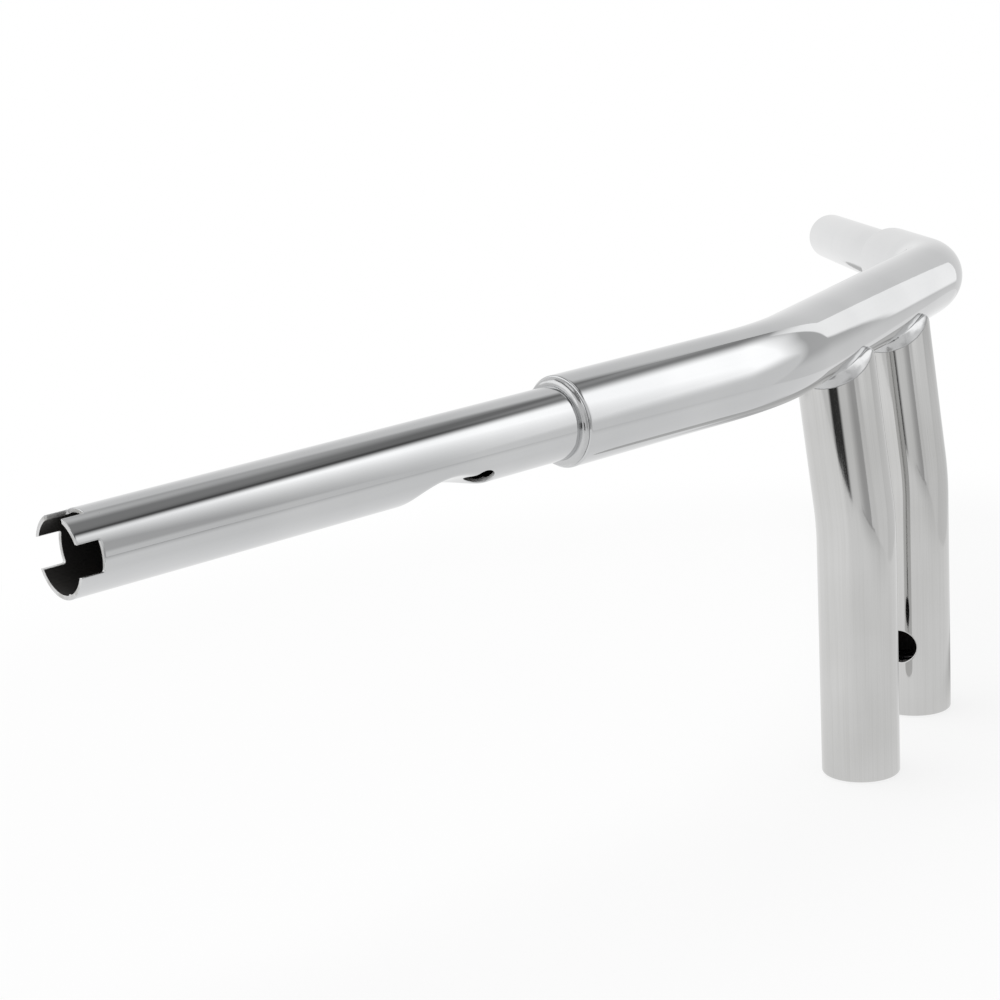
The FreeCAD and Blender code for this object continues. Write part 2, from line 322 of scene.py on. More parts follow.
@dataclass(frozen=True)
class PlatedFinish(Finish):
    """Bright chromium plate over polished steel, with soft waves, belt marks and a few pits."""

    name: str = "bright_plate"
    tint: Colour = (0.66, 0.665, 0.67)
    cloudy: Colour = (0.605, 0.611, 0.618)
    streak: float = 0.03
    roughness: float = 0.035
    haze: float = 0.05
    streak_tint: Colour = (0.4, 0.392, 0.38)
    pit_tint: Colour = (0.12, 0.115, 0.11)
    wave: float = 0.00002
    wave_scale: float = 42.0
    smear_scale: float = 18.0
    belt_lines: Point = (14.0, 1700.0, 1.0)
    belt_bands: Point = (7.0, 420.0, 1.0)
    pits: float = 0.006
    pit_scale: float = 130.0

    def look(self, graph: Graph) -> Look:
        """Lay belt marks along the tube, with smears and pits over them.

        Args:
            graph: graph of the material.

        Returns:
            What the shader is fed.
        """
        coords = graph.node("ShaderNodeTexCoord").outputs
        spot, unrolled = coords["Object"], coords["UV"]
        wave = graph.cloud(spot, self.wave_scale, 1.5)
        smear = graph.cloud(spot, self.smear_scale, 3.0)
        belt = graph.cloud(graph.stretched(unrolled, self.belt_lines), 1.0, 3.0, 0.62)
        broad = graph.cloud(graph.stretched(unrolled, self.belt_bands), 1.0, 3.0, 0.6)
        cells = graph.node("ShaderNodeTexVoronoi", {"feature": "F1"}, {
            "Vector": spot, "Scale": self.pit_scale}).outputs
        # About one cell in twenty holds a pit.
        chosen = graph.split(cells["Color"])[0].step(0.94, 0.96)
        pit = Value(graph, cells["Distance"]).step(self.pits * 6.0, self.pits * 3.0) * chosen
        streaks = (belt * 0.4 + broad * 0.6).step(0.42, 0.66) * self.streak
        colour = graph.mix_colour(smear.step(0.3, 0.75), self.tint, self.cloudy)
        colour = graph.mix_colour(streaks, colour, self.streak_tint)
        colour = graph.mix_colour(pit * 0.45, colour, self.pit_tint)
        hazy = belt.step(0.42, 0.8)
        rough = self.roughness + self.haze * hazy * smear.step(0.25, 0.7) + pit * 0.25
        return Look(colour, rough, wave + belt * 0.02 - pit * 0.6, self.wave)


@dataclass(frozen=True)
class WeldFinish(Finish):
    """Chromium plate over a dressed weld, with uneven ripples and dull spots."""

    name: str = "plated_bead"
    tint: Colour = (0.585, 0.589, 0.593)
    dull_tint: Colour = (0.52, 0.52, 0.52)
    roughness: float = 0.16
    ripple: float = 0.00003

    def look(self, graph: Graph) -> Look:
        """Lay ripples and dull spots over the weld.

        Args:
            graph: graph of the material.

        Returns:
            What the shader is fed.
        """
        spot = graph.node("ShaderNodeTexCoord").outputs["Object"]
        ripple = graph.cloud(spot, 170.0)
        fine = graph.cloud(spot, 900.0)
        dull = graph.cloud(spot, 120.0, 3.0).step(0.5, 0.72)
        colour = graph.mix_colour(dull * 0.45, self.tint, self.dull_tint)
        rough = self.roughness + dull * 0.08 + fine * 0.04
        return Look(colour, rough, ripple + fine * 0.12, self.ripple)


@dataclass(frozen=True)
class BoreFinish(Finish):
    """Dark drawn steel inside the tubes, where the plate doesn't reach."""

    name: str = "drawn_bore"
    steel: Colour = (0.045, 0.043, 0.041)
    stain: Colour = (0.055, 0.038, 0.027)
    lines: Point = (30.0, 1500.0, 1.0)
    depth: float = 0.00006

    def look(self, graph: Graph) -> Look:
        """Draw lines along the tube, with brown stains.

        Args:
            graph: graph of the material.

        Returns:
            What the shader is fed.
        """
        coords = graph.node("ShaderNodeTexCoord").outputs
        lines = graph.cloud(graph.stretched(coords["UV"], self.lines), 1.0, 3.0)
        stain = graph.cloud(coords["Object"], 60.0, 4.0).step(0.5, 0.72)
        colour = graph.mix_colour(stain, self.steel, self.stain)
        return Look(colour, 0.42 + 0.2 * lines + 0.15 * stain, lines, self.depth, 0.6)


@dataclass(frozen=True)
class TurnedFinish(Finish):
    """Turned steel of the threaded plugs, with a thin flash of plate."""

    name: str = "turned_plug"
    tint: Colour = (0.52, 0.52, 0.525)
    worn_tint: Colour = (0.4, 0.4, 0.405)
    ring_pitch: float = 21000.0
    depth: float = 0.00001

    def look(self, graph: Graph) -> Look:
        """Turn tool rings about the bolt hole.

        Args:
            graph: graph of the material.

        Returns:
            What the shader is fed.
        """
        spot = graph.node("ShaderNodeTexCoord").outputs["Object"]
        x, y, _ = graph.split(spot)
        across = x.math("ABSOLUTE") - RISER_SPACING / 2 * MM
        reach = (across * across + y * y).math("SQRT")
        rings = (reach * self.ring_pitch + graph.cloud(spot, 300.0) * 1.5).math("SINE")
        worn = graph.cloud(spot, 140.0, 3.0)
        colour = graph.mix_colour(worn.step(0.35, 0.7), self.tint, self.worn_tint)
        return Look(colour, 0.2 + 0.08 * rings + 0.12 * worn, rings, self.depth)


@dataclass(frozen=True)
class CutFinish(Finish):
    """Sawn and filed edges of the tubes, with a thin satin plate."""

    name: str = "filed_edge"
    tint: Colour = (0.8, 0.8, 0.8)
    worn_tint: Colour = (0.66, 0.655, 0.64)
    depth: float = 0.00002

    def look(self, graph: Graph) -> Look:
        """File the edges.

        Args:
            graph: graph of the material.

        Returns:
            What the shader is fed.
        """
        spot = graph.node("ShaderNodeTexCoord").outputs["Object"]
        marks = graph.cloud(spot, 1600.0)
        worn = graph.cloud(spot, 240.0, 3.0).step(0.4, 0.7)
        colour = graph.mix_colour(worn, self.tint, self.worn_tint)
        return Look(colour, 0.36 + 0.12 * worn + 0.1 * marks, marks, self.depth)


BELTED = PlatedFinish("belted_plate", (0.655, 0.654, 0.648), (0.6, 0.598, 0.59),
                      streak=0.13, roughness=0.055, haze=0.1)


@dataclass
class Finishes:
    """Materials of the handlebar, made once."""

    plate: bpy.types.Material = field(default_factory=PlatedFinish().material)
    belted: bpy.types.Material = field(default_factory=BELTED.material)
    weld: bpy.types.Material = field(default_factory=WeldFinish().material)
    bore: bpy.types.Material = field(default_factory=BoreFinish().material)
    cut: bpy.types.Material = field(default_factory=CutFinish().material)
    plug: bpy.types.Material = field(default_factory=TurnedFinish().material)

    @property
    def tube(self) -> Dress:
        """Materials of a plated tube."""
        return {"Skin": self.plate, "Bore": self.bore, "Cut": self.cut}

    @property
    def riser(self) -> Dress:
        """Materials of a riser, which is polished with a coarser belt."""
        return {**self.tube, "Skin": self.belted}

    @property
    def bead(self) -> Dress:
        """Materials of a weld bead."""
        return {"Skin": self.weld, "Bore": self.weld, "Cut": self.weld}


class NodeTool:
    """Geometry Nodes tree with named inputs, which a mesh is passed through."""

    def __init__(self, name: str, numbers: Sequence[str], materials: Sequence[str]) -> None:
        """Start the tree.

        Args:
            name: name of the tree.
            numbers: names of the number inputs.
            materials: names of the material inputs.
        """
        self.tree = bpy.data.node_groups.new(name, "GeometryNodeTree")
        sockets = [("Geometry", "Geometry")]
        sockets += [(label, "Float") for label in numbers]
        sockets += [(label, "Material") for label in materials]
        face = self.tree.interface
        for label, kind in sockets:
            face.new_socket(label, in_out="INPUT", socket_type=f"NodeSocket{kind}")
        face.new_socket("Geometry", in_out="OUTPUT", socket_type="NodeSocketGeometry")
        self.graph = Graph(self.tree)
        self.given = self.graph.node("NodeGroupInput").outputs

    def dressed(self, made: bpy.types.Node, material: str,
                mark: Optional[Surface] = None) -> bpy.types.Node:
        """Set a material on what a node made.

        Args:
            made: the node.
            material: name of the material input.
            mark: kind of surface that is dressed, or all of it.

        Returns:
            Node that sets the material.
        """
        inputs = {"Geometry": made.outputs[0], "Material": self.given[material]}
        if mark is not None:
            marked = self.graph.node("GeometryNodeInputNamedAttribute", {"data_type": "BOOLEAN"},
                                     {"Name": mark.value})
            inputs["Selection"] = marked.outputs[0]
        return self.graph.node("GeometryNodeSetMaterial", None, inputs)

    def run(self, mesh: bpy.types.Mesh, sizes: Dict[str, Any]) -> bpy.types.Mesh:
        """Pass a mesh through the tree.

        Args:
            mesh: what the tree starts from.
            sizes: values of the tree's inputs, by name.

        Returns:
            Plain mesh of the result.
        """
        worker = linked("worker", mesh)
        modifier = worker.modifiers.new("tree", "NODES")
        modifier.node_group = self.tree
        for socket in self.tree.interface.items_tree:
            if socket.in_out == "INPUT" and socket.name in sizes:
                modifier[socket.identifier] = sizes[socket.name]
        shaped = worker.evaluated_get(bpy.context.evaluated_depsgraph_get())
        made = bpy.data.meshes.new_from_object(shaped)
        worker.modifiers.remove(modifier)
        bpy.data.objects.remove(worker)
        bpy.data.meshes.remove(mesh)
        return made


@dataclass(frozen=True)
class Bend:
    """One bend of a tube, in millimetres and degrees."""

    run: float
    radius: float
    angle: float

    @property
    def end(self) -> float:
        """Station where the bend ends."""
        return self.run + self.radius * math.radians(self.angle)


class TubeBender(NodeTool):
    """Bends straight tube as a tube bender does.

    Tube lies along X. It stays straight for the run, then turns once towards -Y on both sides of
    the origin.
    """

    def __init__(self) -> None:
        """Build the tree."""
        names = ("Run", "Bend Radius", "Bend Angle")
        super().__init__("tube_bender", names, ("Skin", "Bore", "Cut"))
        graph, given = self.graph, self.given
        run, radius, angle = (Value(graph, given[name]) for name in names)
        x, y, z = graph.split(graph.node("GeometryNodeInputPosition").outputs[0])
        along = x.math("ABSOLUTE")
        arc = radius * angle
        turn = (along - run).at_least(0.0).at_most(arc) / radius
        past = (along - run - arc).at_least(0.0)
        sine, cosine = turn.math("SINE"), turn.math("COSINE")
        reach = along.at_most(run) + radius * sine + past * cosine + y * sine
        sweep = y * cosine - radius * (1.0 - cosine) - past * sine
        spot = graph.node("ShaderNodeCombineXYZ", None, {
            0: x.math("SIGN") * reach, 1: sweep, 2: z})
        bent = graph.node("GeometryNodeSetPosition", None, {
            "Geometry": given["Geometry"], "Position": spot.outputs[0]})
        whole = graph.node("GeometryNodeRealizeInstances", None, {0: bent.outputs[0]})
        dressed = self.dressed(whole, "Skin")
        dressed = self.dressed(dressed, "Bore", Surface.BORE)
        dressed = self.dressed(dressed, "Cut", Surface.CUT)
        graph.node("NodeGroupOutput", None, {0: dressed.outputs[0]})

    def bend(self, mesh: bpy.types.Mesh, bend: Bend, dress: Dress) -> bpy.types.Mesh:
        """Bend a straight mesh.

        Args:
            mesh: straight tube along X.
            bend: place, radius and angle of the bend.
            dress: materials of its surfaces.

        Returns:
            Plain mesh of the bent tube.
        """
        return self.run(mesh, {"Run": bend.run * MM, "Bend Radius": bend.radius * MM,
                               "Bend Angle": math.radians(bend.angle), **dress})


class ThreadCutter(NodeTool):
    """Winds a thread's ridge along a helix."""

    def __init__(self) -> None:
        """Build the tree."""
        super().__init__("thread_cutter", ("Radius", "Height", "Turns", "Ridge"), ("Skin",))
        graph, given = self.graph, self.given
        helix = graph.node("GeometryNodeCurveSpiral", None, {
            "Resolution": 48, "Rotations": given["Turns"], "Start Radius": given["Radius"],
            "End Radius": given["Radius"], "Height": given["Height"]})
        upright = graph.node("GeometryNodeSetCurveNormal", {"mode": "Z_UP"}, {
            "Curve": helix.outputs[0]})
        ridge = graph.node("GeometryNodeCurvePrimitiveCircle", None, {
            "Resolution": 3, "Radius": given["Ridge"]})
        turned = graph.node("GeometryNodeTransform", None, {
            "Geometry": ridge.outputs[0], "Rotation": (0.0, 0.0, math.pi)})
        swept = graph.node("GeometryNodeCurveToMesh", None, {
            "Curve": upright.outputs[0], "Profile Curve": turned.outputs[0], "Fill Caps": True})
        whole = graph.node("GeometryNodeRealizeInstances", None, {0: swept.outputs[0]})
        graph.node("NodeGroupOutput", None, {0: self.dressed(whole, "Skin").outputs[0]})

    def cut(self, minor: float, pitch: float, length: float,
            skin: bpy.types.Material) -> bpy.types.Mesh:
        """Ridge of a thread.

        Args:
            minor: radius of the ridge's crest, in millimetres.
            pitch: rise for each turn, in millimetres.
            length: length of the thread, in millimetres.
            skin: its material.

        Returns:
            Mesh of the ridge, from Z = 0 up.
        """
        ridge = pitch / math.sqrt(3)
        sizes = {"Radius": (minor + ridge) * MM, "Height": length * MM, "Turns": length / pitch,
                 "Ridge": ridge * MM, "Skin": skin}
        return self.run(bpy.data.meshes.new("thread"), sizes)


@dataclass
class Cloth:
    """Loose patches of faces that are sewn into one mesh at the end."""

    points: List[Point] = field(default_factory=list)
    marks: List[Spot] = field(default_factory=list)
    faces: List[Tuple[int, ...]] = field(default_factory=list)
    kinds: List[Surface] = field(default_factory=list)
    seam_gap: float = 2e-6
    shortest: float = 1e-7

    def add(self, points: Sequence[Point], marks: Sequence[Spot],
            faces: Sequence[Tuple[int, ...]], kind: Surface) -> None:
        """Add one patch.

        Args:
            points: its points, in millimetres.
            marks: place of each point on the unrolled tube, in millimetres.
            faces: its faces, by number of the point.
            kind: surface that the patch belongs to.
        """
        first = len(self.points)
        self.points.extend(points)
        self.marks.extend(marks)
        self.faces.extend(tuple(first + n for n in face) for face in faces)
        self.kinds.extend([kind] * len(faces))

    def sweep(self, rings: Sequence[Sequence[Point]], marks: Sequence[Spot],
              capped: bool = False) -> None:
        """Add the skin of a closed outline that is swept along.

        Args:
            rings: points of the outline at each place of the sweep.
            marks: place of each point, ring after ring.
            capped: whether the first and the last ring are closed by faces.
        """
        count = len(rings[0])
        last = count * (len(rings) - 1)
        faces: List[Tuple[int, ...]] = []
        for row in range(0, last, count):
            for n in range(count):
                here, there = row + n, row + (n + 1) % count
                faces.append((here, there, there + count, here + count))
        if capped:
            faces += [tuple(range(count)), tuple(range(last, last + count))]
        self.add([point for ring in rings for point in ring], marks, faces, Surface.SKIN)

    def mesh(self, name: str) -> bpy.types.Mesh:
        """Sew the patches together.

        Args:
            name: name of the mesh.

        Returns:
            Closed smooth mesh in metres, with outward normals.
        """
        mesh = bpy.data.meshes.new(name)
        mesh.from_pydata([[c * MM for c in p] for p in self.points], [], self.faces)
        unrolled = mesh.uv_layers.new(name="unrolled")
        for loop in mesh.loops:
            along, around = self.marks[loop.vertex_index]
            unrolled.data[loop.index].uv = (along * MM, around * MM)
        for surface in (Surface.BORE, Surface.CUT):
            marks = mesh.attributes.new(surface.value, "BOOLEAN", "FACE")
            marks.data.foreach_set("value", [kind is surface for kind in self.kinds])
        sewn = bmesh.new()
        sewn.from_mesh(mesh)
        bmesh.ops.remove_doubles(sewn, verts=sewn.verts, dist=self.seam_gap)
        bmesh.ops.dissolve_degenerate(sewn, edges=sewn.edges, dist=self.shortest)
        bmesh.ops.recalc_face_normals(sewn, faces=sewn.faces)
        for face in sewn.faces:
            face.smooth = True
        open_edges = sum(1 for edge in sewn.edges if len(edge.link_faces) != 2)
        if open_edges:
            LOG.warning("%s has %d open edges", name, open_edges)
        sewn.to_mesh(mesh)
        sewn.free()
        return mesh


class CutEdge:
    """Edge where a tube's wall ends. Angles go from the tube's underside to its front.

    The wall next to a fitted edge is a window cut to its shape. Only such an edge needs covers
    and span.
    """

    fitted = True
    room = 3.0

    def loop(self, clear: float, radius: float, angles: Sequence[float]) -> List[Spot]:
        """Ring of places that stands back from the cut by a distance, at a radius."""
        raise NotImplementedError

    def covers(self, spot: Spot, radius: float, margin: float) -> bool:
        """True where metal is cut away, or is nearer to the cut than the margin."""
        raise NotImplementedError

    def span(self) -> Spot:
        """Lowest and highest station that the cut needs room in."""
        raise NotImplementedError


@dataclass
class PlainEnd(CutEdge):
    """Square end of a tube."""

    station: float
    inward: float
    fitted = False

    def loop(self, clear: float, radius: float, angles: Sequence[float]) -> List[Spot]:
        """Ring of places that stands back from the end."""
        return [(self.station + self.inward * clear, angle) for angle in angles]


@dataclass
class NotchedEnd(CutEdge):
    """End at station 0 with square notches."""

    centres: Tuple[float, ...]
    width: float
    depth: float
    corner: float = 0.7
    sides: int = 6
    rounds: int = 5
    bottom: int = 14
    arc_step: float = 0.032
    half_angle: float = 0.4
    behind: float = 2.5

    def loop(self, clear: float, radius: float, angles: Sequence[float]) -> List[Spot]:
        """Ring of places along the end and round each notch.

        Args:
            clear: distance from the cut.
            radius: radius of the skin that the ring lies on.
            angles: angles of the tube's plain rings.

        Returns:
            Stations and angles, in equal number for every ring.
        """
        half = self.width / 2
        last = last_nominal = angles[0]
        ring: List[Spot] = []
        for centre in self.centres:
            edge = math.asin((half + clear) / radius)
            nominal = (last_nominal, centre - self.half_angle)
            ring += self.arc(clear, (last, centre - edge), nominal)
            ring += [(s, centre + math.asin(side / radius)) for s, side in self.notch(clear)]
            last, last_nominal = centre + edge, centre + self.half_angle
        finish = angles[0] + TURN
        return ring + self.arc(clear, (last, finish), (last_nominal, finish))

    def arc(self, clear: float, ends: Spot, nominal: Spot) -> List[Spot]:
        """Places along the end between two notches, as many as its nominal length needs."""
        count = max(4, round((nominal[1] - nominal[0]) / self.arc_step))
        return [(clear, ends[0] + (ends[1] - ends[0]) * n / count) for n in range(count)]

    def notch(self, clear: float) -> List[Spot]:
        """Places down, along and up one notch.

        Args:
            clear: distance from the cut.

        Returns:
            Stations and sideways distances.
        """
        half, turn = self.width / 2, self.corner
        deep, wide, reach = self.depth - turn, half - turn, turn + clear
        left = [(clear + (deep - clear) * n / self.sides, -half - clear)
                for n in range(self.sides)]
        for n in range(self.rounds + 1):
            angle = QUARTER * n / self.rounds
            left.append((deep + reach * math.sin(angle), -half + turn - reach * math.cos(angle)))
        flat = [(self.depth + clear, -wide + 2 * wide * n / self.bottom)
                for n in range(1, self.bottom)]
        return left + flat + [(s, -side) for s, side in reversed(left)][:-1]

    def covers(self, spot: Spot, radius: float, margin: float) -> bool:
        """Tell whether a place is beyond the end or in a notch.

        Args:
            spot: the place.
            radius: radius of the skin that it lies on.
            margin: distance from the cut that still counts.

        Returns:
            True where metal is cut away.
        """
        if spot[0] < margin:
            return True
        deep = spot[0] - self.depth + self.corner
        for centre in self.centres:
            offset = spot[1] - centre
            if math.cos(offset) <= 0:
                continue
            wide = abs(radius * math.sin(offset)) - self.width / 2 + self.corner
            away = math.hypot(wide, deep) if wide > 0 and deep > 0 else max(wide, deep)
            if away < self.corner + margin:
                return True
        return False

    def span(self) -> Spot:
        """From the end to behind the notches."""
        return (0.0, self.depth + self.behind)


@dataclass
class CopedEnd(CutEdge):
    """Upper end that is cut to sit under a crossing tube, where its weld starts."""

    crossing: float
    toe: Callable[[float], float]

    def loop(self, clear: float, radius: float, angles: Sequence[float]) -> List[Spot]:
        """Ring of places along the cope."""
        return [(self.crossing - self.toe(angle) - clear, angle) for angle in angles]

    def covers(self, spot: Spot, radius: float, margin: float) -> bool:
        """True above the cope."""
        return spot[0] > self.crossing - self.toe(spot[1]) - margin

    def span(self) -> Spot:
        """From below the saddle to the ears."""
        return (self.crossing - self.toe(0.0) - self.room, self.crossing - self.toe(QUARTER))


@dataclass
class DrilledHole(CutEdge):
    """Round hole drilled square to the tube."""

    station: float
    centre: float
    bore: float
    count: int = 72

    def loop(self, clear: float, radius: float, angles: Sequence[float]) -> List[Spot]:
        """Ring of places round the hole.

        Args:
            clear: distance from the cut.
            radius: radius of the skin that the ring lies on.
            angles: angles of the tube's plain rings, which a hole doesn't need.

        Returns:
            Stations and angles of the ring.
        """
        ring = []
        reach = self.bore + clear
        for n in range(self.count):
            beta = TURN * n / self.count
            turn = math.asin(max(-1.0, min(1.0, reach * math.sin(beta) / radius)))
            ring.append((self.station + reach * math.cos(beta), self.centre + turn))
        return ring

    def covers(self, spot: Spot, radius: float, margin: float) -> bool:
        """Tell whether a place is in the hole.

        Args:
            spot: the place.
            radius: radius of the skin that it lies on.
            margin: distance from the cut that still counts.

        Returns:
            True where metal is cut away.
        """
        offset = spot[1] - self.centre
        if math.cos(offset) <= 0:
            return False
        away = math.hypot(spot[0] - self.station, radius * math.sin(offset))
        return away < self.bore + margin

    def span(self) -> Spot:
        """Room about the hole."""
        return (self.station - self.bore - self.room, self.station + self.bore + self.room)


@dataclass
class Dimple:
    """Dent pressed across a tube by a round bar."""

    station: float
    centre: float
    depth: float
    press: float
    soft: float
    press_share: float = 0.92
    soft_limit: float = 30.0

    def pressed(self, station: float, height: float, skin: float, tube: float) -> float:
        """Height above the tube's axis after pressing.

        Args:
            station: place along the tube.
            height: height before pressing, towards the press.
            skin: radius of the skin that is pressed.
            tube: outer radius of the tube.

        Returns:
            Height after pressing, with a soft edge between dent and tube.
        """
        away = min(abs(station - self.station), self.press * self.press_share)
        sag = math.sqrt(self.press ** 2 - away ** 2)
        floor = tube - self.depth + self.press - sag - (tube - skin)
        gap = (height - floor) / self.soft
        if gap < -self.soft_limit:
            return height
        if gap > self.soft_limit:
            return floor
        lower = floor if gap > 0 else height
        return lower - self.soft * math.log1p(math.exp(-abs(gap)))


def as_drawn(station: float, angle: float, radius: float) -> float:
    """Radius of a wall that is left as drawn."""
    return radius


def from_start(station: float) -> float:
    """Place along X of a tube that starts at the origin."""
    return station


@dataclass
class StraightTube:
    """Straight tube along X with cut ends, holes and an optional dent, in millimetres."""

    outer: float
    inner: float
    start: CutEdge
    finish: CutEdge
    rows: Sequence[float]
    holes: Sequence[CutEdge] = ()
    seam: float = 0.0
    turns: int = 192
    outside_round: float = 0.35
    inside_round: float = 0.2
    hole_round: float = 0.4
    dimple: Optional[Dimple] = None
    skin: Callable[[float, float, float], float] = as_drawn
    heading: Callable[[float], float] = from_start
    start_round: Optional[float] = None
    rim_steps: int = 5
    held_rows: Tuple[float, ...] = (0.3, 0.9)
    keep_off: float = 1.25
    snap: float = 1e-5

    @property
    def angles(self) -> List[float]:
        """Angles of the plain rings, from the seam on."""
        return [self.seam + TURN * n / self.turns for n in range(self.turns)]

    @property
    def start_edge(self) -> float:
        """Rounding of the start's outer edge."""
        return self.outside_round if self.start_round is None else self.start_round

    def point(self, station: float, angle: float, radius: float) -> Point:
        """Place of a point of the wall.

        Args:
            station: place along the tube.
            angle: place round the tube, from its underside to its front.
            radius: distance from the axis before pressing.

        Returns:
            Point on the straight tube, in millimetres.
        """
        radius = self.skin(station, angle, radius)
        along = self.heading(station)
        if self.dimple is None:
            return (along, radius * math.sin(angle), -radius * math.cos(angle))
        turn = self.dimple.centre
        height, side = radius * math.cos(angle - turn), radius * math.sin(angle - turn)
        height = self.dimple.pressed(station, height, radius, self.outer)
        return (along, height * math.sin(turn) + side * math.cos(turn),
                -height * math.cos(turn) + side * math.sin(turn))

    def patch(self, cloth: Cloth, spots: Sequence[Point], faces: Sequence[Tuple[int, ...]],
              kind: Surface) -> None:
        """Add a patch whose points are given by station, angle and radius."""
        marks = [(spot[0], spot[1] * self.outer) for spot in spots]
        cloth.add([self.point(*spot) for spot in spots], marks, faces, kind)

    def bridge(self, cloth: Cloth, rings: Sequence[Ring], kind: Surface) -> None:
        """Add strips between rings of equal count.

        Args:
            cloth: where the faces go.
            rings: places of each ring, and its radius.
            kind: surface that the strips belong to.
        """
        spots: List[Point] = []
        for places, radius in rings:
            spots += [(s, a, radius) for s, a in self.closed(places, True)]
        count = len(rings[0][0]) + 1
        faces = []
        for row in range(len(rings) - 1):
            for low in range(row * count, row * count + count - 1):
                faces.append((low, low + 1, low + count + 1, low + count))
        self.patch(cloth, spots, faces, kind)

    @staticmethod
    def closed(places: Sequence[Spot], always: bool) -> List[Spot]:
        """Repeat a ring's first place at its end.

        Args:
            places: places of the ring.
            always: also for a ring round a hole, which doesn't go about the tube.

        Returns:
            The ring, with its first place a whole turn on if it goes about the tube.
        """
        about = places[-1][1] - places[0][1] > math.pi
        station, angle = places[0]
        again = [(station, angle + (TURN if about else 0.0))] if about or always else []
        return list(places) + again

    def window(self, cloth: Cloth, radius: float, clear: float, low: List[Spot],
               high: List[Spot], rows: Sequence[float], edge: CutEdge, kind: Surface) -> None:
        """Fill a stretch of the wall that has a cut in it.

        Args:
            cloth: where the faces go.
            radius: radius of the skin.
            clear: distance by which the skin stands back from the cut.
            low: ring of places at the lower end.
            high: ring of places at the upper end.
            rows: stations of plain rows between them.
            edge: cut in the stretch.
            kind: skin or bore.
        """
        spots: List[Spot] = []
        lines: List[Tuple[int, int]] = []
        for places in (low, high):
            first = len(spots)
            spots += self.closed(places, True)
            lines += [(first + n, first + n + 1) for n in range(len(places))]
        if isinstance(edge, DrilledHole):
            first, places = len(spots), edge.loop(clear, radius, self.angles)
            spots += places
            count = len(places)
            lines += [(first + n, first + (n + 1) % count) for n in range(count)]
        for hold in self.held_rows:
            spots += self.closed(edge.loop(clear + hold, radius, self.angles), False)
        pitch = TURN / self.turns
        for station in rows:
            for n in range(self.turns + 1):
                spot = (station, self.seam + pitch * n)
                if not edge.covers(spot, radius, clear + self.keep_off):
                    spots.append(spot)
        flat = [Vector((s, a * self.outer)) for s, a in spots]
        made, _, faces, sources, _, _ = delaunay_2d_cdt(flat, lines, [], 0, self.snap)
        places = [spots[source[0]] if source else (co[0], co[1] / self.outer)
                  for co, source in zip(made, sources)]
        kept = []
        for face in faces:
            middle = tuple(sum(places[n][axis] for n in face) / len(face) for axis in (0, 1))
            if not edge.covers(middle, radius, clear):
                kept.append(tuple(face))
        self.patch(cloth, [(s, a, radius) for s, a in places], kept, kind)

    def sheet(self, cloth: Cloth, radius: float, kind: Surface) -> None:
        """Add the outer or the inner skin.

        Args:
            cloth: where the faces go.
            radius: radius of the skin.
            kind: skin or bore.
        """
        inside = self.inside_round if kind is Surface.BORE else None
        start_clear = self.start_edge if inside is None else inside
        end_clear = self.outside_round if inside is None else inside
        hole_clear = self.hole_round if inside is None else inside
        rows, angles = self.rows, self.angles

        def row(station: float) -> List[Spot]:
            """Plain ring at a station."""
            return [(station, angle) for angle in angles]

        windows = []
        for edge in self.holes:
            low, high = edge.span()
            below, above = [r for r in rows if r <= low], [r for r in rows if r >= high]
            windows.append((max(below), min(above), edge))
        first, last = rows[0], rows[-1]
        if self.start.fitted:
            first = min(r for r in rows if r >= self.start.span()[1])
        if self.finish.fitted:
            last = max(r for r in rows if r <= self.finish.span()[0])
        plain = [r for r in rows if first <= r <= last]
        for low, high in zip(plain[:-1], plain[1:]):
            if not any(w[0] <= low and high <= w[1] for w in windows):
                self.bridge(cloth, [(row(low), radius), (row(high), radius)], kind)
        for low, high, edge in windows:
            between = [r for r in rows if low < r < high]
            self.window(cloth, radius, hole_clear, row(low), row(high), between, edge, kind)
        ends = ((self.start, start_clear, first, [r for r in rows if r < first]),
                (self.finish, end_clear, last, [r for r in rows if r > last]))
        for edge, clear, station, beyond in ends:
            rings = [edge.loop(clear, radius, angles), row(station)]
            if edge is self.finish:
                rings.reverse()
            if edge.fitted:
                self.window(cloth, radius, clear, rings[0], rings[1], beyond, edge, kind)
            else:
                self.bridge(cloth, [(ring, radius) for ring in rings], kind)

    def rounding(self, edge: CutEdge, skin: float, size: float) -> List[Ring]:
        """Quarter round from a skin to a cut.

        Args:
            edge: the cut.
            skin: radius of the skin.
            size: size of the rounding, negative where it goes towards the axis.

        Returns:
            Its rings, from the skin on.
        """
        rings = []
        for n in range(self.rim_steps + 1):
            angle = QUARTER * n / self.rim_steps
            radius = skin + size * (1 - math.cos(angle))
            clear = abs(size) * (1 - math.sin(angle))
            rings.append((edge.loop(clear, radius, self.angles), radius))
        return rings

    def rim(self, cloth: Cloth, edge: CutEdge, outside: float) -> None:
        """Add the rounded rim of a cut, from the outer skin to the inner one.

        Args:
            cloth: where the faces go.
            edge: the cut.
            outside: rounding of its outer edge.
        """
        outer = self.rounding(edge, self.outer, -outside)
        inner = self.rounding(edge, self.inner, self.inside_round)
        self.bridge(cloth, outer, Surface.SKIN)
        self.bridge(cloth, [outer[-1], *reversed(inner)], Surface.CUT)

    def mesh(self, name: str) -> bpy.types.Mesh:
        """Make the tube.

        Args:
            name: name of the mesh.

        Returns:
            Closed mesh, in metres.
        """
        cloth = Cloth()
        self.sheet(cloth, self.outer, Surface.SKIN)
        self.sheet(cloth, self.inner, Surface.BORE)
        self.rim(cloth, self.start, self.start_edge)
        self.rim(cloth, self.finish, self.outside_round)
        for edge in self.holes:
            self.rim(cloth, edge, self.hole_round)
        return cloth.mesh(name)


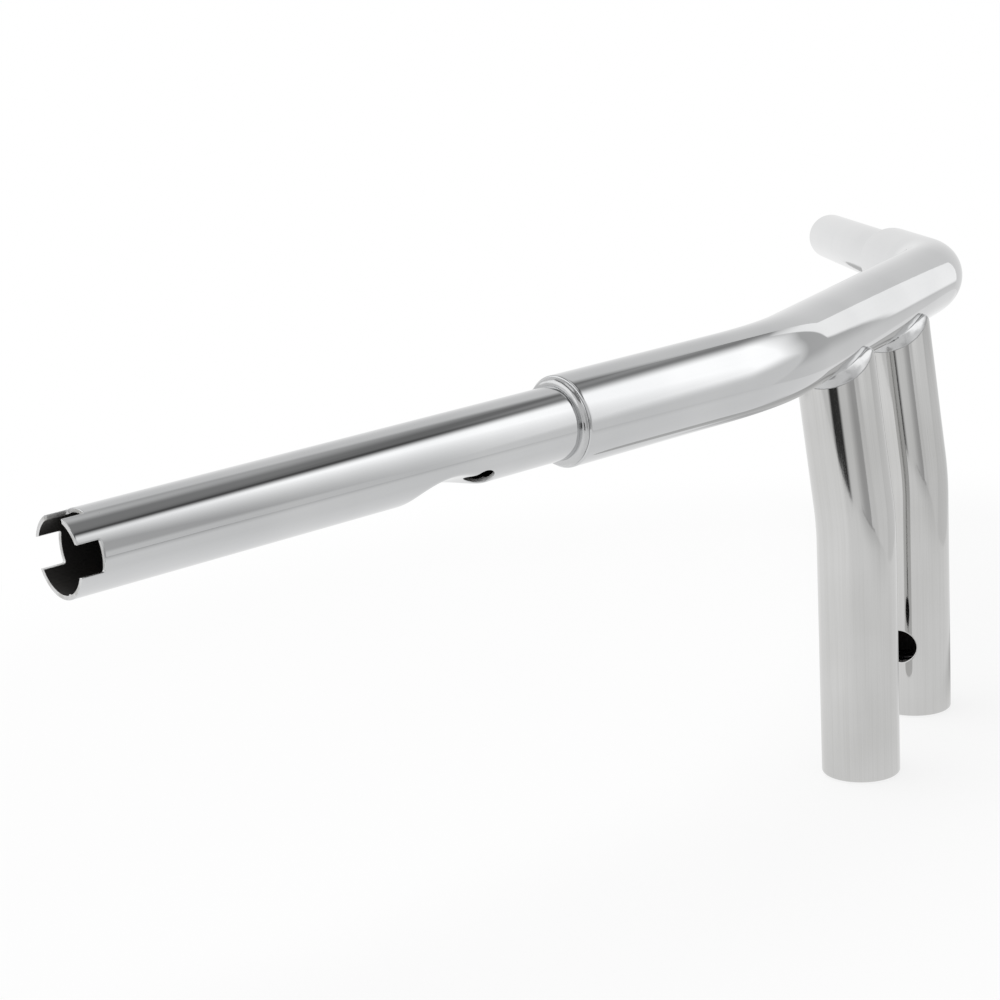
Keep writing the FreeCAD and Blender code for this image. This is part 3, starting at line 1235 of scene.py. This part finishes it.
def spaced(start: float, end: float, step: float) -> List[float]:
    """Even stations from start to end, both included."""
    count = max(1, round((end - start) / step))
    return [start + (end - start) * n / count for n in range(count + 1)]


def joined(*runs: Sequence[float], nearest: float = 0.05) -> List[float]:
    """Stations of several runs in one.

    Args:
        runs: stations of each run.
        nearest: distance under which two stations are one.

    Returns:
        Sorted stations.
    """
    result: List[float] = []
    for station in sorted(s for run in runs for s in run):
        if not result or station - result[-1] > nearest:
            result.append(station)
    return result


def clamped(share: float) -> float:
    """Share held between 0 and 1."""
    return min(1.0, max(0.0, share))


def add_piece(name: str, node: str, mesh: bpy.types.Mesh, place: Matrix,
              slot: Slot) -> bpy.types.Object:
    """Put a finished mesh in the scene in place of a CAD node.

    Args:
        name: name of the piece.
        node: CAD node that it stands for.
        mesh: its mesh, in its own frame.
        place: matrix to the row's frame, which may mirror it.
        slot: finish slot of the record; not used.

    Returns:
        The piece.
    """
    mesh.transform(place)
    if place.determinant() < 0:
        mesh.flip_normals()
    mesh.name = name
    piece = linked(name, mesh)
    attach(piece, "root")
    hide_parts(node)
    LOG.info("%s: %d faces", name, len(mesh.polygons))
    return piece


@dataclass
class BarLine:
    """Bends and place of the bar, in millimetres and degrees."""

    bend: Bend = Bend(99.0, 115.0, 25.3)
    arm: float = 77.7
    drop: float = 5.6
    back: float = -8.6596
    height: float = 181.5885
    reach: float = 191.7

    @property
    def step(self) -> float:
        """Station of the thick tube's end."""
        return self.bend.end + self.arm

    @property
    def tip(self) -> float:
        """Station of the hand tube's end."""
        return self.step + self.reach

    @property
    def place(self) -> Matrix:
        """Matrix from the bar's own frame to the row's frame."""
        tilt = Matrix.Rotation(math.radians(self.drop), 4, "X")
        return Matrix.Translation((0, self.back * MM, self.height * MM)) @ tilt


@dataclass
class Crossbar:
    """Thick centre tube with its two wire passages."""

    line: BarLine
    edge_round: float = 0.7
    passage: float = 9.5

    def build(self, bender: TubeBender, finishes: Finishes) -> bpy.types.Object:
        """Make the tube straight, drill it and bend it.

        Args:
            bender: tree that bends it.
            finishes: materials.

        Returns:
            The piece.
        """
        end, bend = self.line.step, self.line.bend
        # Rows are close about the wire passages, in the bends and at the ends.
        half = joined(spaced(0, 30, 6), spaced(30, 60, 1.5), spaced(60, bend.run, 6),
                      spaced(bend.run, bend.end, 1.2), spaced(bend.end, end - 4, 6),
                      [end - 2.6, end - 1.8, end - 1.3])
        rows = joined([-s for s in half], half)
        holes = [DrilledHole(way * RISER_SPACING / 2, 0.0, self.passage) for way in (-1, 1)]
        tube = StraightTube(THICK_OUTER, THICK_INNER, PlainEnd(-end, 1.0), PlainEnd(end, -1.0),
                            rows, holes, seam=-math.pi, outside_round=self.edge_round)
        mesh = bender.bend(tube.mesh("crossbar_stock"), bend, finishes.tube)
        return add_piece("crossbar_tube", "crossbar", mesh, self.line.place, Slot.TUBE)


@dataclass
class HandTube:
    """Thin tube that the hand grip goes on, with its dent, wire hole and sensor notches."""

    line: BarLine
    side: Side
    outer: float = 12.7
    inner: float = 11.05
    insert: float = 45.0
    ream_radius: float = 11.3
    ream_depth: float = 60.0
    ream_taper: float = 0.4
    seat_radius: float = 12.5
    seat_start: float = 189.7
    seat_taper: float = 0.3
    notch_width: float = 9.5
    notch_depth: float = 7.5
    notch_centres: Tuple[float, ...] = (87.0, 177.0, 267.0)
    hole_station: float = 150.0
    hole_turn: float = 30.0
    hole_radius: float = 5.2
    dent_station: float = 136.6
    dent_turn: float = 10.5
    dent_depth: float = 4.35
    dent_press: float = 30.0
    dent_soft: float = 0.55
    flash_turn: float = 13.0
    flash: float = 0.4
    flash_width: float = 0.55

    def skin(self, station: float, angle: float, radius: float) -> float:
        """Radius after the seat is turned and the end is reamed.

        Args:
            station: place along the tube, from its open end.
            angle: place round the tube.
            radius: radius of the drawn tube, outside or inside.

        Returns:
            The new radius, with the weld flash along the inside.
        """
        if radius > (self.outer + self.inner) / 2:
            share = clamped((station - self.seat_start) / self.seat_taper)
            return radius - (self.outer - self.seat_radius) * share
        share = clamped((self.ream_depth - station) / self.ream_taper)
        offset = math.remainder(angle - math.radians(self.flash_turn), TURN)
        across = offset * radius / self.flash_width
        seam = self.flash * math.exp(-across * across)
        return radius + (self.ream_radius - self.inner) * share - seam

    def heading(self, station: float) -> float:
        """Station along the bar, which counts the other way."""
        return self.line.tip - station

    def build(self, bender: TubeBender, finishes: Finishes) -> bpy.types.Object:
        """Make the tube straight with all its cuts, and set it in line with the bar's arm.

        Args:
            bender: tree that carries it round the bend.
            finishes: materials.

        Returns:
            The piece.
        """
        length = self.line.reach + self.insert
        hole = DrilledHole(self.hole_station, math.radians(self.hole_turn), self.hole_radius)
        dent = Dimple(self.dent_station, math.radians(self.dent_turn), self.dent_depth,
                      self.dent_press, self.dent_soft)
        start: CutEdge = PlainEnd(0.0, 1.0)
        if self.side is Side.RIGHT:
            centres = tuple(math.radians(c) for c in self.notch_centres)
            start = NotchedEnd(centres, self.notch_width, self.notch_depth)
        # Rows are close at the notches, the ream's end, the dent with its hole, and the seat.
        dented = joined(spaced(100, 172, 0.9), hole.span())
        rows = joined([0.8, 1.3, 2.2], spaced(3.5, 14, 1.0), spaced(14, 58, 4),
                      spaced(59, 61, 0.2), spaced(62, 100, 4), dented, spaced(172, 188, 4),
                      spaced(189, 191, 0.3), spaced(192, length - 3, 5), [length - 1])
        tube = StraightTube(self.outer, self.inner, start, PlainEnd(length, -1.0), rows, [hole],
                            seam=math.radians(-45), turns=160, outside_round=0.3,
                            hole_round=0.45, dimple=dent, skin=self.skin, heading=self.heading)
        mesh = bender.bend(tube.mesh("hand_stock"), self.line.bend, finishes.tube)
        return add_piece(f"{self.side.label}_hand_tube", f"{self.side.label}_grip_tube", mesh,
                         self.side.mirror @ self.line.place, Slot.TUBE)


@dataclass
class StepBead:
    """Ring weld in the corner between a hand tube and the end of the thick tube."""

    line: BarLine
    side: Side
    root: float = 12.45
    leg: float = 2.75
    run: float = 2.1
    lap: float = 0.02
    bulge: float = 0.82
    turns: int = 240
    steps: int = 12
    waver: float = 0.07
    waver_scale: float = 4.0

    def section(self, angle: float) -> List[Spot]:
        """Outline of the bead at one place round the tube.

        Args:
            angle: the place.

        Returns:
            Height and length of its points, from the root on.
        """
        scale = self.waver_scale
        place = (scale * math.sin(angle), scale * math.cos(angle), self.side.value)
        swell = 1.0 + self.waver * noise.noise(place)
        outline = [(0.0, 0.0)]
        for k in range(self.steps + 1):
            t = QUARTER * k / self.steps
            outline.append((self.leg * swell * math.sin(t) ** self.bulge,
                            self.run * swell * max(0.0, math.cos(t)) ** self.bulge))
        return outline

    def build(self, bender: TubeBender, finishes: Finishes) -> bpy.types.Object:
        """Sweep the bead round the tube, with a slight waver in its size.

        Args:
            bender: tree that carries it round the bend.
            finishes: materials.

        Returns:
            The piece.
        """
        cloth = Cloth()
        rings, marks = [], []
        for n in range(self.turns + 1):
            angle = TURN * n / self.turns
            ring = []
            for across, along in self.section(angle):
                radius = self.root + across
                ring.append((self.line.step + along - self.lap,
                             radius * math.sin(angle), -radius * math.cos(angle)))
                marks.append((along, angle * self.root))
            rings.append(ring)
        cloth.sweep(rings, marks)
        mesh = bender.bend(cloth.mesh("bead_stock"), self.line.bend, finishes.bead)
        return add_piece(f"{self.side.label}_step_bead", f"{self.side.label}_step_weld", mesh,
                         self.side.mirror @ self.line.place, Slot.WELD)


@dataclass
class Riser:
    """Bent tube from the clamp to the crossbar, with its wire hole."""

    line: BarLine
    side: Side
    bend: Bend = Bend(96.0, 150.0, 6.4)
    neck: float = 69.3
    foot_round: float = 1.3
    hole_height: float = 31.6
    hole_turn: float = 8.0
    hole_radius: float = 7.0
    fillet: float = 4.2
    ear_toe: float = 9.2
    flank_soft: float = 0.02
    toe_curve: float = 0.75

    @property
    def crossing(self) -> float:
        """Station where the riser's axis meets the bar's axis."""
        return self.bend.end + self.neck

    @property
    def place(self) -> Matrix:
        """Matrix from tube along X to the riser's place on this side."""
        upright = Matrix(((0, 0, -1, 0), (0, 1, 0, 0), (1, 0, 0, 0), (0, 0, 0, 1)))
        return self.side.mirror @ Matrix.Translation((RISER_SPACING / 2 * MM, 0, 0)) @ upright

    @property
    def saddle(self) -> Matrix:
        """Place of the joint, whose own frame has Z along the neck.

        Returns:
            Matrix from the joint's frame to the row's frame.
        """
        centre = Vector((RISER_SPACING / 2, self.line.back, self.line.height)) * MM
        lean = Matrix.Rotation(math.radians(self.bend.angle), 4, "X")
        return self.side.mirror @ Matrix.Translation(centre) @ lean

    def flank_share(self, psi: float) -> float:
        """Rise from the riser's front and back to its flanks, with no kink.

        Args:
            psi: place round the riser, 0 in the middle of a flank.

        Returns:
            Share between 0 at front and back and 1 at the flanks.
        """
        least = math.sqrt(self.flank_soft)
        most = math.sqrt(1 + self.flank_soft)
        return (math.sqrt(math.cos(psi) ** 2 + self.flank_soft) - least) / (most - least)

    def toe(self, psi: float) -> float:
        """Depth of the weld's lower toe below the bar's axis, round the riser."""
        rise = THICK_OUTER + self.fillet - self.ear_toe
        return self.ear_toe + rise * self.flank_share(psi) ** self.toe_curve

    def build(self, bender: TubeBender, finishes: Finishes) -> bpy.types.Object:
        """Make the riser straight, drill and cope it, and bend it.

        Args:
            bender: tree that bends it.
            finishes: materials.

        Returns:
            The piece.
        """
        hole = DrilledHole(self.hole_height, math.pi + math.radians(self.hole_turn),
                           self.hole_radius)
        cope = CopedEnd(self.crossing, self.toe)
        (low, high), bend, saddle = hole.span(), self.bend, cope.span()[0]
        # Rows are close about the wire hole, in the bend and at the cope.
        rows = joined([1.7, 2.2, 3.2], spaced(5, low, 3), spaced(low, high, 1.0),
                      spaced(high, bend.run, 4), spaced(bend.run, bend.end, 1.2),
                      spaced(bend.end, saddle, 4), spaced(saddle, self.crossing - 1, 1.0))
        tube = StraightTube(THICK_OUTER, THICK_INNER, PlainEnd(0.0, 1.0), cope, rows, [hole],
                            seam=-math.pi / 4, outside_round=0.25, hole_round=0.5,
                            start_round=self.foot_round)
        mesh = bender.bend(tube.mesh("riser_stock"), bend, finishes.riser)
        return add_piece(f"{self.side.label}_riser_tube", f"{self.side.label}_riser", mesh,
                         self.place, Slot.TUBE)


@dataclass
class RiserBead:
    """Weld in the corner between a riser and the crossbar, on one flank of the joint."""

    riser: Riser
    flank: Flank
    turns: int = 150
    steps: int = 14
    spread: float = 93.0
    bar_toe: float = 7.7
    lap: float = 0.4
    proud: float = 0.03
    sink: float = 0.06
    bottom_share: float = 0.2
    corner_share: float = 0.78
    face_tilt: float = -0.6
    ear_width: float = 0.14
    ear_swell: float = 0.35
    ripple: float = 0.22
    ripple_scale: float = 0.3
    ripple_shift: float = 9.0
    end_sink: float = 0.3
    root_depth: float = 1.4
    mark_step: float = 0.4

    def section(self, psi: float) -> List[Point]:
        """Outline of the weld at one place round the riser.

        Args:
            psi: place round the riser, from its back over the flank to its front.

        Returns:
            Points of the outline: the visible face from riser to bar, then the root.
        """
        radius, side = THICK_OUTER, self.riser.side.value
        cosine, sine = self.flank.value * math.cos(psi), math.sin(psi)
        low = self.riser.toe(psi) + self.lap
        high = self.bar_toe + (radius - self.bar_toe) * self.riser.flank_share(psi)
        skin, proud, root = radius - self.sink, radius + self.proud, radius - self.root_depth
        reach = max(math.sqrt(max(skin ** 2 - high ** 2, 0.0)),
                    self.bottom_share * radius * abs(sine))
        on_riser = Vector((proud * cosine, proud * sine, -low))
        on_bar = Vector(((radius + self.riser.fillet) * cosine, math.copysign(reach, sine),
                         -min(high, skin)))
        corner = Vector((radius * cosine, radius * sine, -high))
        pull = (on_riser + on_bar) * ((1 - self.corner_share) / 2) + corner * self.corner_share
        out = Vector((cosine, sine, self.face_tilt)).normalized()
        ear = math.exp(-((QUARTER - abs(psi)) / self.ear_width) ** 2)
        over = max(0.0, abs(psi) - QUARTER) / math.radians(self.spread - 90.0)
        shift = Vector((side * self.ripple_shift, 0.0, 0.0))
        ring = []
        for k in range(self.steps + 1):
            t = k / self.steps
            spot = on_riser * (1 - t) ** 2 + pull * (2 * t * (1 - t)) + on_bar * t ** 2
            rough = noise.noise(spot * self.ripple_scale + shift)
            rise = math.sin(math.pi * t) * (self.ripple * rough + self.ear_swell * ear)
            ring.append(tuple(spot + out * (rise - self.end_sink * over)))
        ring.append((root * cosine, root * sine, -(low + high) / 2))
        return ring

    def build(self, finishes: Finishes) -> bpy.types.Object:
        """Lay the weld into the corner.

        Args:
            finishes: materials.

        Returns:
            The piece.
        """
        cloth = Cloth()
        rings, marks = [], []
        limit = math.radians(self.spread)
        for n in range(self.turns + 1):
            psi = -limit + 2 * limit * n / self.turns
            rings.append(self.section(psi))
            marks += [(psi * THICK_OUTER, k * self.mark_step) for k in range(self.steps + 2)]
        cloth.sweep(rings, marks, capped=True)
        mesh = cloth.mesh("bead")
        mesh.materials.append(finishes.weld)
        name = f"{self.riser.side.label}_{self.flank.label}"
        return add_piece(f"{name}_bead", f"{name}_weld", mesh, self.riser.saddle, Slot.WELD)


@dataclass
class FootPlug:
    """Turned plug in a riser's foot, tapped for the clamp bolt."""

    side: Side
    rim: float = THICK_INNER - 0.02
    length: float = 22.0
    bevel: float = 0.25
    mouth: float = 0.9
    thread_major: float = 6.35
    thread_minor: float = 5.36
    thread_pitch: float = 1.954
    thread_start: float = 1.8
    turns: int = 128

    @property
    def outline(self) -> List[Spot]:
        """Turned outline, from the foot's rim through the bolt hole to the upper rim.

        Returns:
            Radius and height of its points.
        """
        rim, major, mouth, bevel = self.rim, self.thread_major, self.mouth, self.bevel
        top = self.length
        return [(rim, bevel), (rim - bevel, 0.0), (major + mouth, 0.0),
                (major + 0.2, mouth * 0.75), (major, mouth), (major, top - mouth),
                (major + mouth, top), (rim - bevel, top), (rim, top - bevel)]

    def build(self, cutter: ThreadCutter, finishes: Finishes) -> bpy.types.Object:
        """Turn the plug and cut its thread.

        Args:
            cutter: tree that winds the thread.
            finishes: materials.

        Returns:
            The piece.
        """
        cloth = Cloth()
        rings, marks = [], []
        for n in range(self.turns + 1):
            angle = TURN * n / self.turns
            rings.append([(r * math.cos(angle), r * math.sin(angle), z) for r, z in self.outline])
            marks += [(z, angle * r) for r, z in self.outline]
        cloth.sweep(rings, marks)
        body = cloth.mesh("plug")
        for polygon in body.polygons:
            polygon.use_smooth = False
        body.materials.append(finishes.plug)
        thread = cutter.cut(self.thread_minor, self.thread_pitch,
                            self.length - 2 * self.thread_start, finishes.plug)
        thread.transform(Matrix.Translation((0, 0, self.thread_start * MM)))
        whole = bmesh.new()
        whole.from_mesh(body)
        whole.from_mesh(thread)
        whole.to_mesh(body)
        whole.free()
        bpy.data.meshes.remove(thread)
        place = self.side.mirror @ Matrix.Translation((RISER_SPACING / 2 * MM, 0, 0))
        return add_piece(f"{self.side.label}_foot_plug", f"{self.side.label}_bung", body, place,
                         Slot.BUNG)


def studio_sheet(name: str, finish: str, corners: Sequence[Sequence[float]]
                 ) -> Tuple[bpy.types.Object, Graph, bpy.types.Node]:
    """Make a flat sheet with an empty material.

    Args:
        name: name of the sheet.
        finish: name of its material.
        corners: its four corners.

    Returns:
        The sheet, its material's graph and that graph's output node.
    """
    mesh = bpy.data.meshes.new(name)
    mesh.from_pydata([tuple(corner) for corner in corners], [], [(0, 1, 2, 3)])
    material, graph, out = new_material(finish)
    mesh.materials.append(material)
    return linked(name, mesh), graph, out


@dataclass
class Studio:
    """Pale floor, white room, lamp and camera, in metres and degrees."""

    floor_low: Spot = (-0.95, -0.62)
    floor_high: Spot = (0.74, 0.60)
    floor_level: float = -0.0003
    floor_tones: Tuple[float, float] = (0.86, 0.9)
    box_bearing: float = 125.0
    box_distance: float = 0.457
    box_foot: Point = (0.177, -0.02, 0.0)
    box_across: Spot = (-0.56, 0.48)
    box_height: Spot = (-0.2, 1.16)
    brightest: float = 1.6
    floor_glow: float = 0.62
    panel_level: float = 1.52
    panel_foot: float = 0.8
    cloth_level: float = 0.52
    wing_level: float = 1.14
    header_level: float = 0.085
    wall_level: float = 0.76
    back_level: float = 1.3
    ceiling_level: float = 0.1
    lamp_size: Spot = (1.4, 1.0)
    lamp_power: float = 12.0
    lamp_place: Point = (0.15, -0.25, 1.6)
    camera_place: Point = (0.90798, 0.24260, 0.31745)
    camera_azimuth: float = 114.79
    camera_elevation: float = 12.469
    camera_roll: float = -3.127
    lens: float = 81.92
    sensor: float = 36.0

    def build(self) -> None:
        """Make the whole studio."""
        scene = bpy.context.scene
        scene.view_settings.view_transform = "Standard"
        self.floor()
        self.soft_box()
        self.room(scene)
        self.lamp()
        self.camera(scene)

    def glowing(self, graph: Graph, kind: str, level: Value) -> bpy.types.Node:
        """Shader that shines at a level, which reaches it as a colour."""
        colour = graph.grey(level / self.brightest)
        return graph.node(kind, None, {"Color": colour, "Strength": self.brightest})

    def floor(self) -> None:
        """Pale floor that the feet stand on."""
        (x0, y0), (x1, y1), z = self.floor_low, self.floor_high, self.floor_level
        floor, graph, out = studio_sheet("floor", "pale_floor", [
            (x0, y0, z), (x1, y0, z), (x1, y1, z), (x0, y1, z)])
        seen, glossy, through = graph.rays("Camera", "Glossy", "Transmission")
        mirrored = glossy.at_least(through)
        spot = graph.node("ShaderNodeTexCoord").outputs["Object"]
        grain = graph.cloud(spot, 3.0)
        x, y, _ = graph.split(spot)
        # Level in reflections, with painted light and shade on the floor: dimmer at the front
        # right, brighter far behind, a painted shadow along the bar's left half, and dark at the
        # front edge.
        from_bar = (y + 0.009 - 0.47 * (x + 0.125).at_most(0.0)).math("ABSOLUTE")
        # Painted shadow under the bar's left half, which only reflections see.
        painted_bar_shadow = from_bar.step(0.085, 0.03) * x.step(-0.04, -0.12)
        clear = y.step(0.55, 0.25).at_least(x.step(0.1, -0.15))
        level = self.floor_glow + 0.2 * clear + 0.1 * y.step(0.1, -0.15) + 0.04 * grain
        level = level * (1.0 - 0.45 * painted_bar_shadow) * (1.0 - 0.5 * y.step(0.565, 0.575))
        low, high = ((tone,) * 3 for tone in self.floor_tones)
        tint = graph.mix_colour(grain, low, high)
        paint = graph.node("ShaderNodeBsdfDiffuse", None, {"Color": tint})
        white = graph.node("ShaderNodeEmission", None, {
            "Color": graph.grey(seen + mirrored * level), "Strength": 1.0})
        # To the camera the floor fades to white away from the feet, and keeps their shadow.
        faded = 0.78 + 0.22 * (x * x + y * y).math("SQRT").step(0.4, 0.57)
        graph.close(graph.node("ShaderNodeMixShader", None, {
            0: seen * faded + mirrored, 1: paint.outputs[0], 2: white.outputs[0]}), out)

    def soft_box(self) -> None:
        """Large soft box in front of the bar, which only reflections see."""
        turn = math.radians(self.box_bearing)
        away = Vector((math.cos(turn), math.sin(turn), 0.0))
        along = Vector((-away.y, away.x, 0.0))
        middle = Vector(self.box_foot) + away * self.box_distance
        (left, right), (low, high) = self.box_across, self.box_height
        box, graph, out = studio_sheet("soft_box", "soft_box_cloth", [
            middle + along * across + Vector((0.0, 0.0, height))
            for across, height in ((left, low), (right, low), (right, high), (left, high))])
        x, y, z = graph.split(graph.node("ShaderNodeTexCoord").outputs["Object"])
        across = (x - middle.x) * along.x + (y - middle.y) * along.y
        # Main panel: falls off to both sides and to its foot, over a dim cloth.
        left = 0.5 + (across + 0.5 + 0.35 * (z - 0.4)) * 2.55
        slope = 6.0 - 2.5 * z.step(0.36, 0.5)
        right = 1.42 - (across - 0.055 - 0.45 * (z - 0.3)) * slope
        slanted = (z - 0.3 * across).step(0.19, 0.32)
        foot = z.step(0.1, 0.36).blend(slanted, across.step(-0.18, -0.04))
        lit = self.panel_foot + (self.panel_level - self.panel_foot) * foot
        panel = left.at_most(right).at_most(self.panel_level).at_most(lit)
        panel = panel.at_least(self.cloth_level + 0.22 * z.step(0.22, 0.1))
        # Wing panel at the right.
        wing = (z + 2.0 * across).step(0.88, 0.95) * z.step(0.11, 0.15)
        wing = wing * across.step(0.315, 0.35) * z.step(0.68, 0.58)
        glow = panel.at_least(self.wing_level * wing)
        # Dark header along the slanted upper edge.
        edge = z + 0.45 * across + 0.04
        dim = self.header_level + 0.2 * across.step(0.0, 0.2) * z.step(1.05, 0.9)
        glow = glow * edge.step(1.0, 0.68) + dim * edge.step(0.7, 1.0) + 0.12 * edge.step(1.0, 1.16)
        graph.close(self.glowing(graph, "ShaderNodeEmission", glow), out)
        box.visible_camera = False
        box.visible_diffuse = False
        box.visible_shadow = False

    def room(self, scene: bpy.types.Scene) -> None:
        """White room as the camera sees it, with its walls and dark ceiling in reflections.

        Args:
            scene: scene that gets the room as its world.
        """
        scene.world = bpy.data.worlds.new("room")
        scene.world.use_nodes = True
        scene.world.node_tree.nodes.clear()
        graph = Graph(scene.world.node_tree)
        x, y, z = graph.split(graph.node("ShaderNodeTexCoord").outputs["Generated"])
        height = z.math("ARCSINE") * math.degrees(1)

        def off(bearing: float) -> Value:
            """Angle to a bearing, to either side.

            Args:
                bearing: the bearing, from X towards Y.

            Returns:
                Angle in degrees.
            """
            sine, cosine = math.sin(math.radians(bearing)), math.cos(math.radians(bearing))
            angle = (y * cosine - x * sine).math("ARCTAN2", x * cosine + y * sine)
            return angle.math("ABSOLUTE") * math.degrees(1)

        # Walls: brighter at the back left, darker in front, dark low at the right, and a bright
        # panel at the back right.
        wall = self.wall_level + 0.2 * off(217.0).step(38.0, 8.0) * height.step(40.0, -4.0)
        wall = wall * (1.0 - 0.42 * off(72.0).step(40.0, 18.0) * height.step(24.0, 4.0))
        wall = wall * (1.0 - 0.95 * off(2.0).step(18.0, 9.0) * height.step(-1.0, -4.0))
        panel = off(-60.0).step(40.0, 28.0) * height.step(4.0, 12.0)
        wall = wall.blend(self.back_level, panel)
        # Ceiling: dark, with a white panel overhead.
        ceiling = self.ceiling_level + 0.17 * height.step(50.0, 61.0)
        ceiling = ceiling + 0.42 * off(215.0).step(60.0, 20.0)
        light = wall.blend(ceiling, height.step(44.0, 51.0)).blend(1.0, height.step(67.0, 77.0))
        seen = graph.rays("Camera")[0]
        sky = self.glowing(graph, "ShaderNodeBackground", light.blend(1.0, seen))
        graph.close(sky, graph.node("ShaderNodeOutputWorld"))

    def lamp(self) -> None:
        """Large overhead lamp that gives the floor its soft shadow."""
        data = bpy.data.lights.new("overhead", "AREA")
        data.shape = "RECTANGLE"
        data.size, data.size_y = self.lamp_size
        data.energy = self.lamp_power
        lamp = linked("overhead", data)
        lamp.location = self.lamp_place
        lamp.rotation_euler = (-Vector(self.lamp_place)).to_track_quat("-Z", "Y").to_euler()
        lamp.visible_glossy = False

    def camera(self, scene: bpy.types.Scene) -> None:
        """Camera at the photograph's place and angle.

        Args:
            scene: scene that gets the camera.
        """
        turn, rise, roll = (math.radians(angle) for angle in (
            self.camera_azimuth, self.camera_elevation, self.camera_roll))
        back = Vector((math.sin(turn) * math.cos(rise), -math.cos(turn) * math.cos(rise),
                       math.sin(rise)))
        right = (-back).cross(Vector((0, 0, 1))).normalized()
        up = right.cross(-back)
        level = math.cos(roll) * right + math.sin(roll) * up
        upright = math.cos(roll) * up - math.sin(roll) * right
        data = bpy.data.cameras.new("camera")
        data.lens = self.lens
        data.sensor_width = self.sensor
        matrix = Matrix((level, upright, back)).transposed().to_4x4()
        matrix.translation = Vector(self.camera_place)
        scene.camera = linked("camera", data)
        scene.camera.matrix_world = matrix


def main() -> None:
    """Build the handlebar and its studio."""
    logging.basicConfig(level=logging.INFO, format="%(name)s: %(message)s")
    finishes = Finishes()
    bender, cutter = TubeBender(), ThreadCutter()
    line = BarLine()
    Crossbar(line).build(bender, finishes)
    for side in Side:
        HandTube(line, side).build(bender, finishes)
        StepBead(line, side).build(bender, finishes)
        riser = Riser(line, side)
        riser.build(bender, finishes)
        for flank in Flank:
            RiserBead(riser, flank).build(finishes)
        FootPlug(side).build(cutter, finishes)
    Studio().build()


if __name__ == "__main__":
    main()
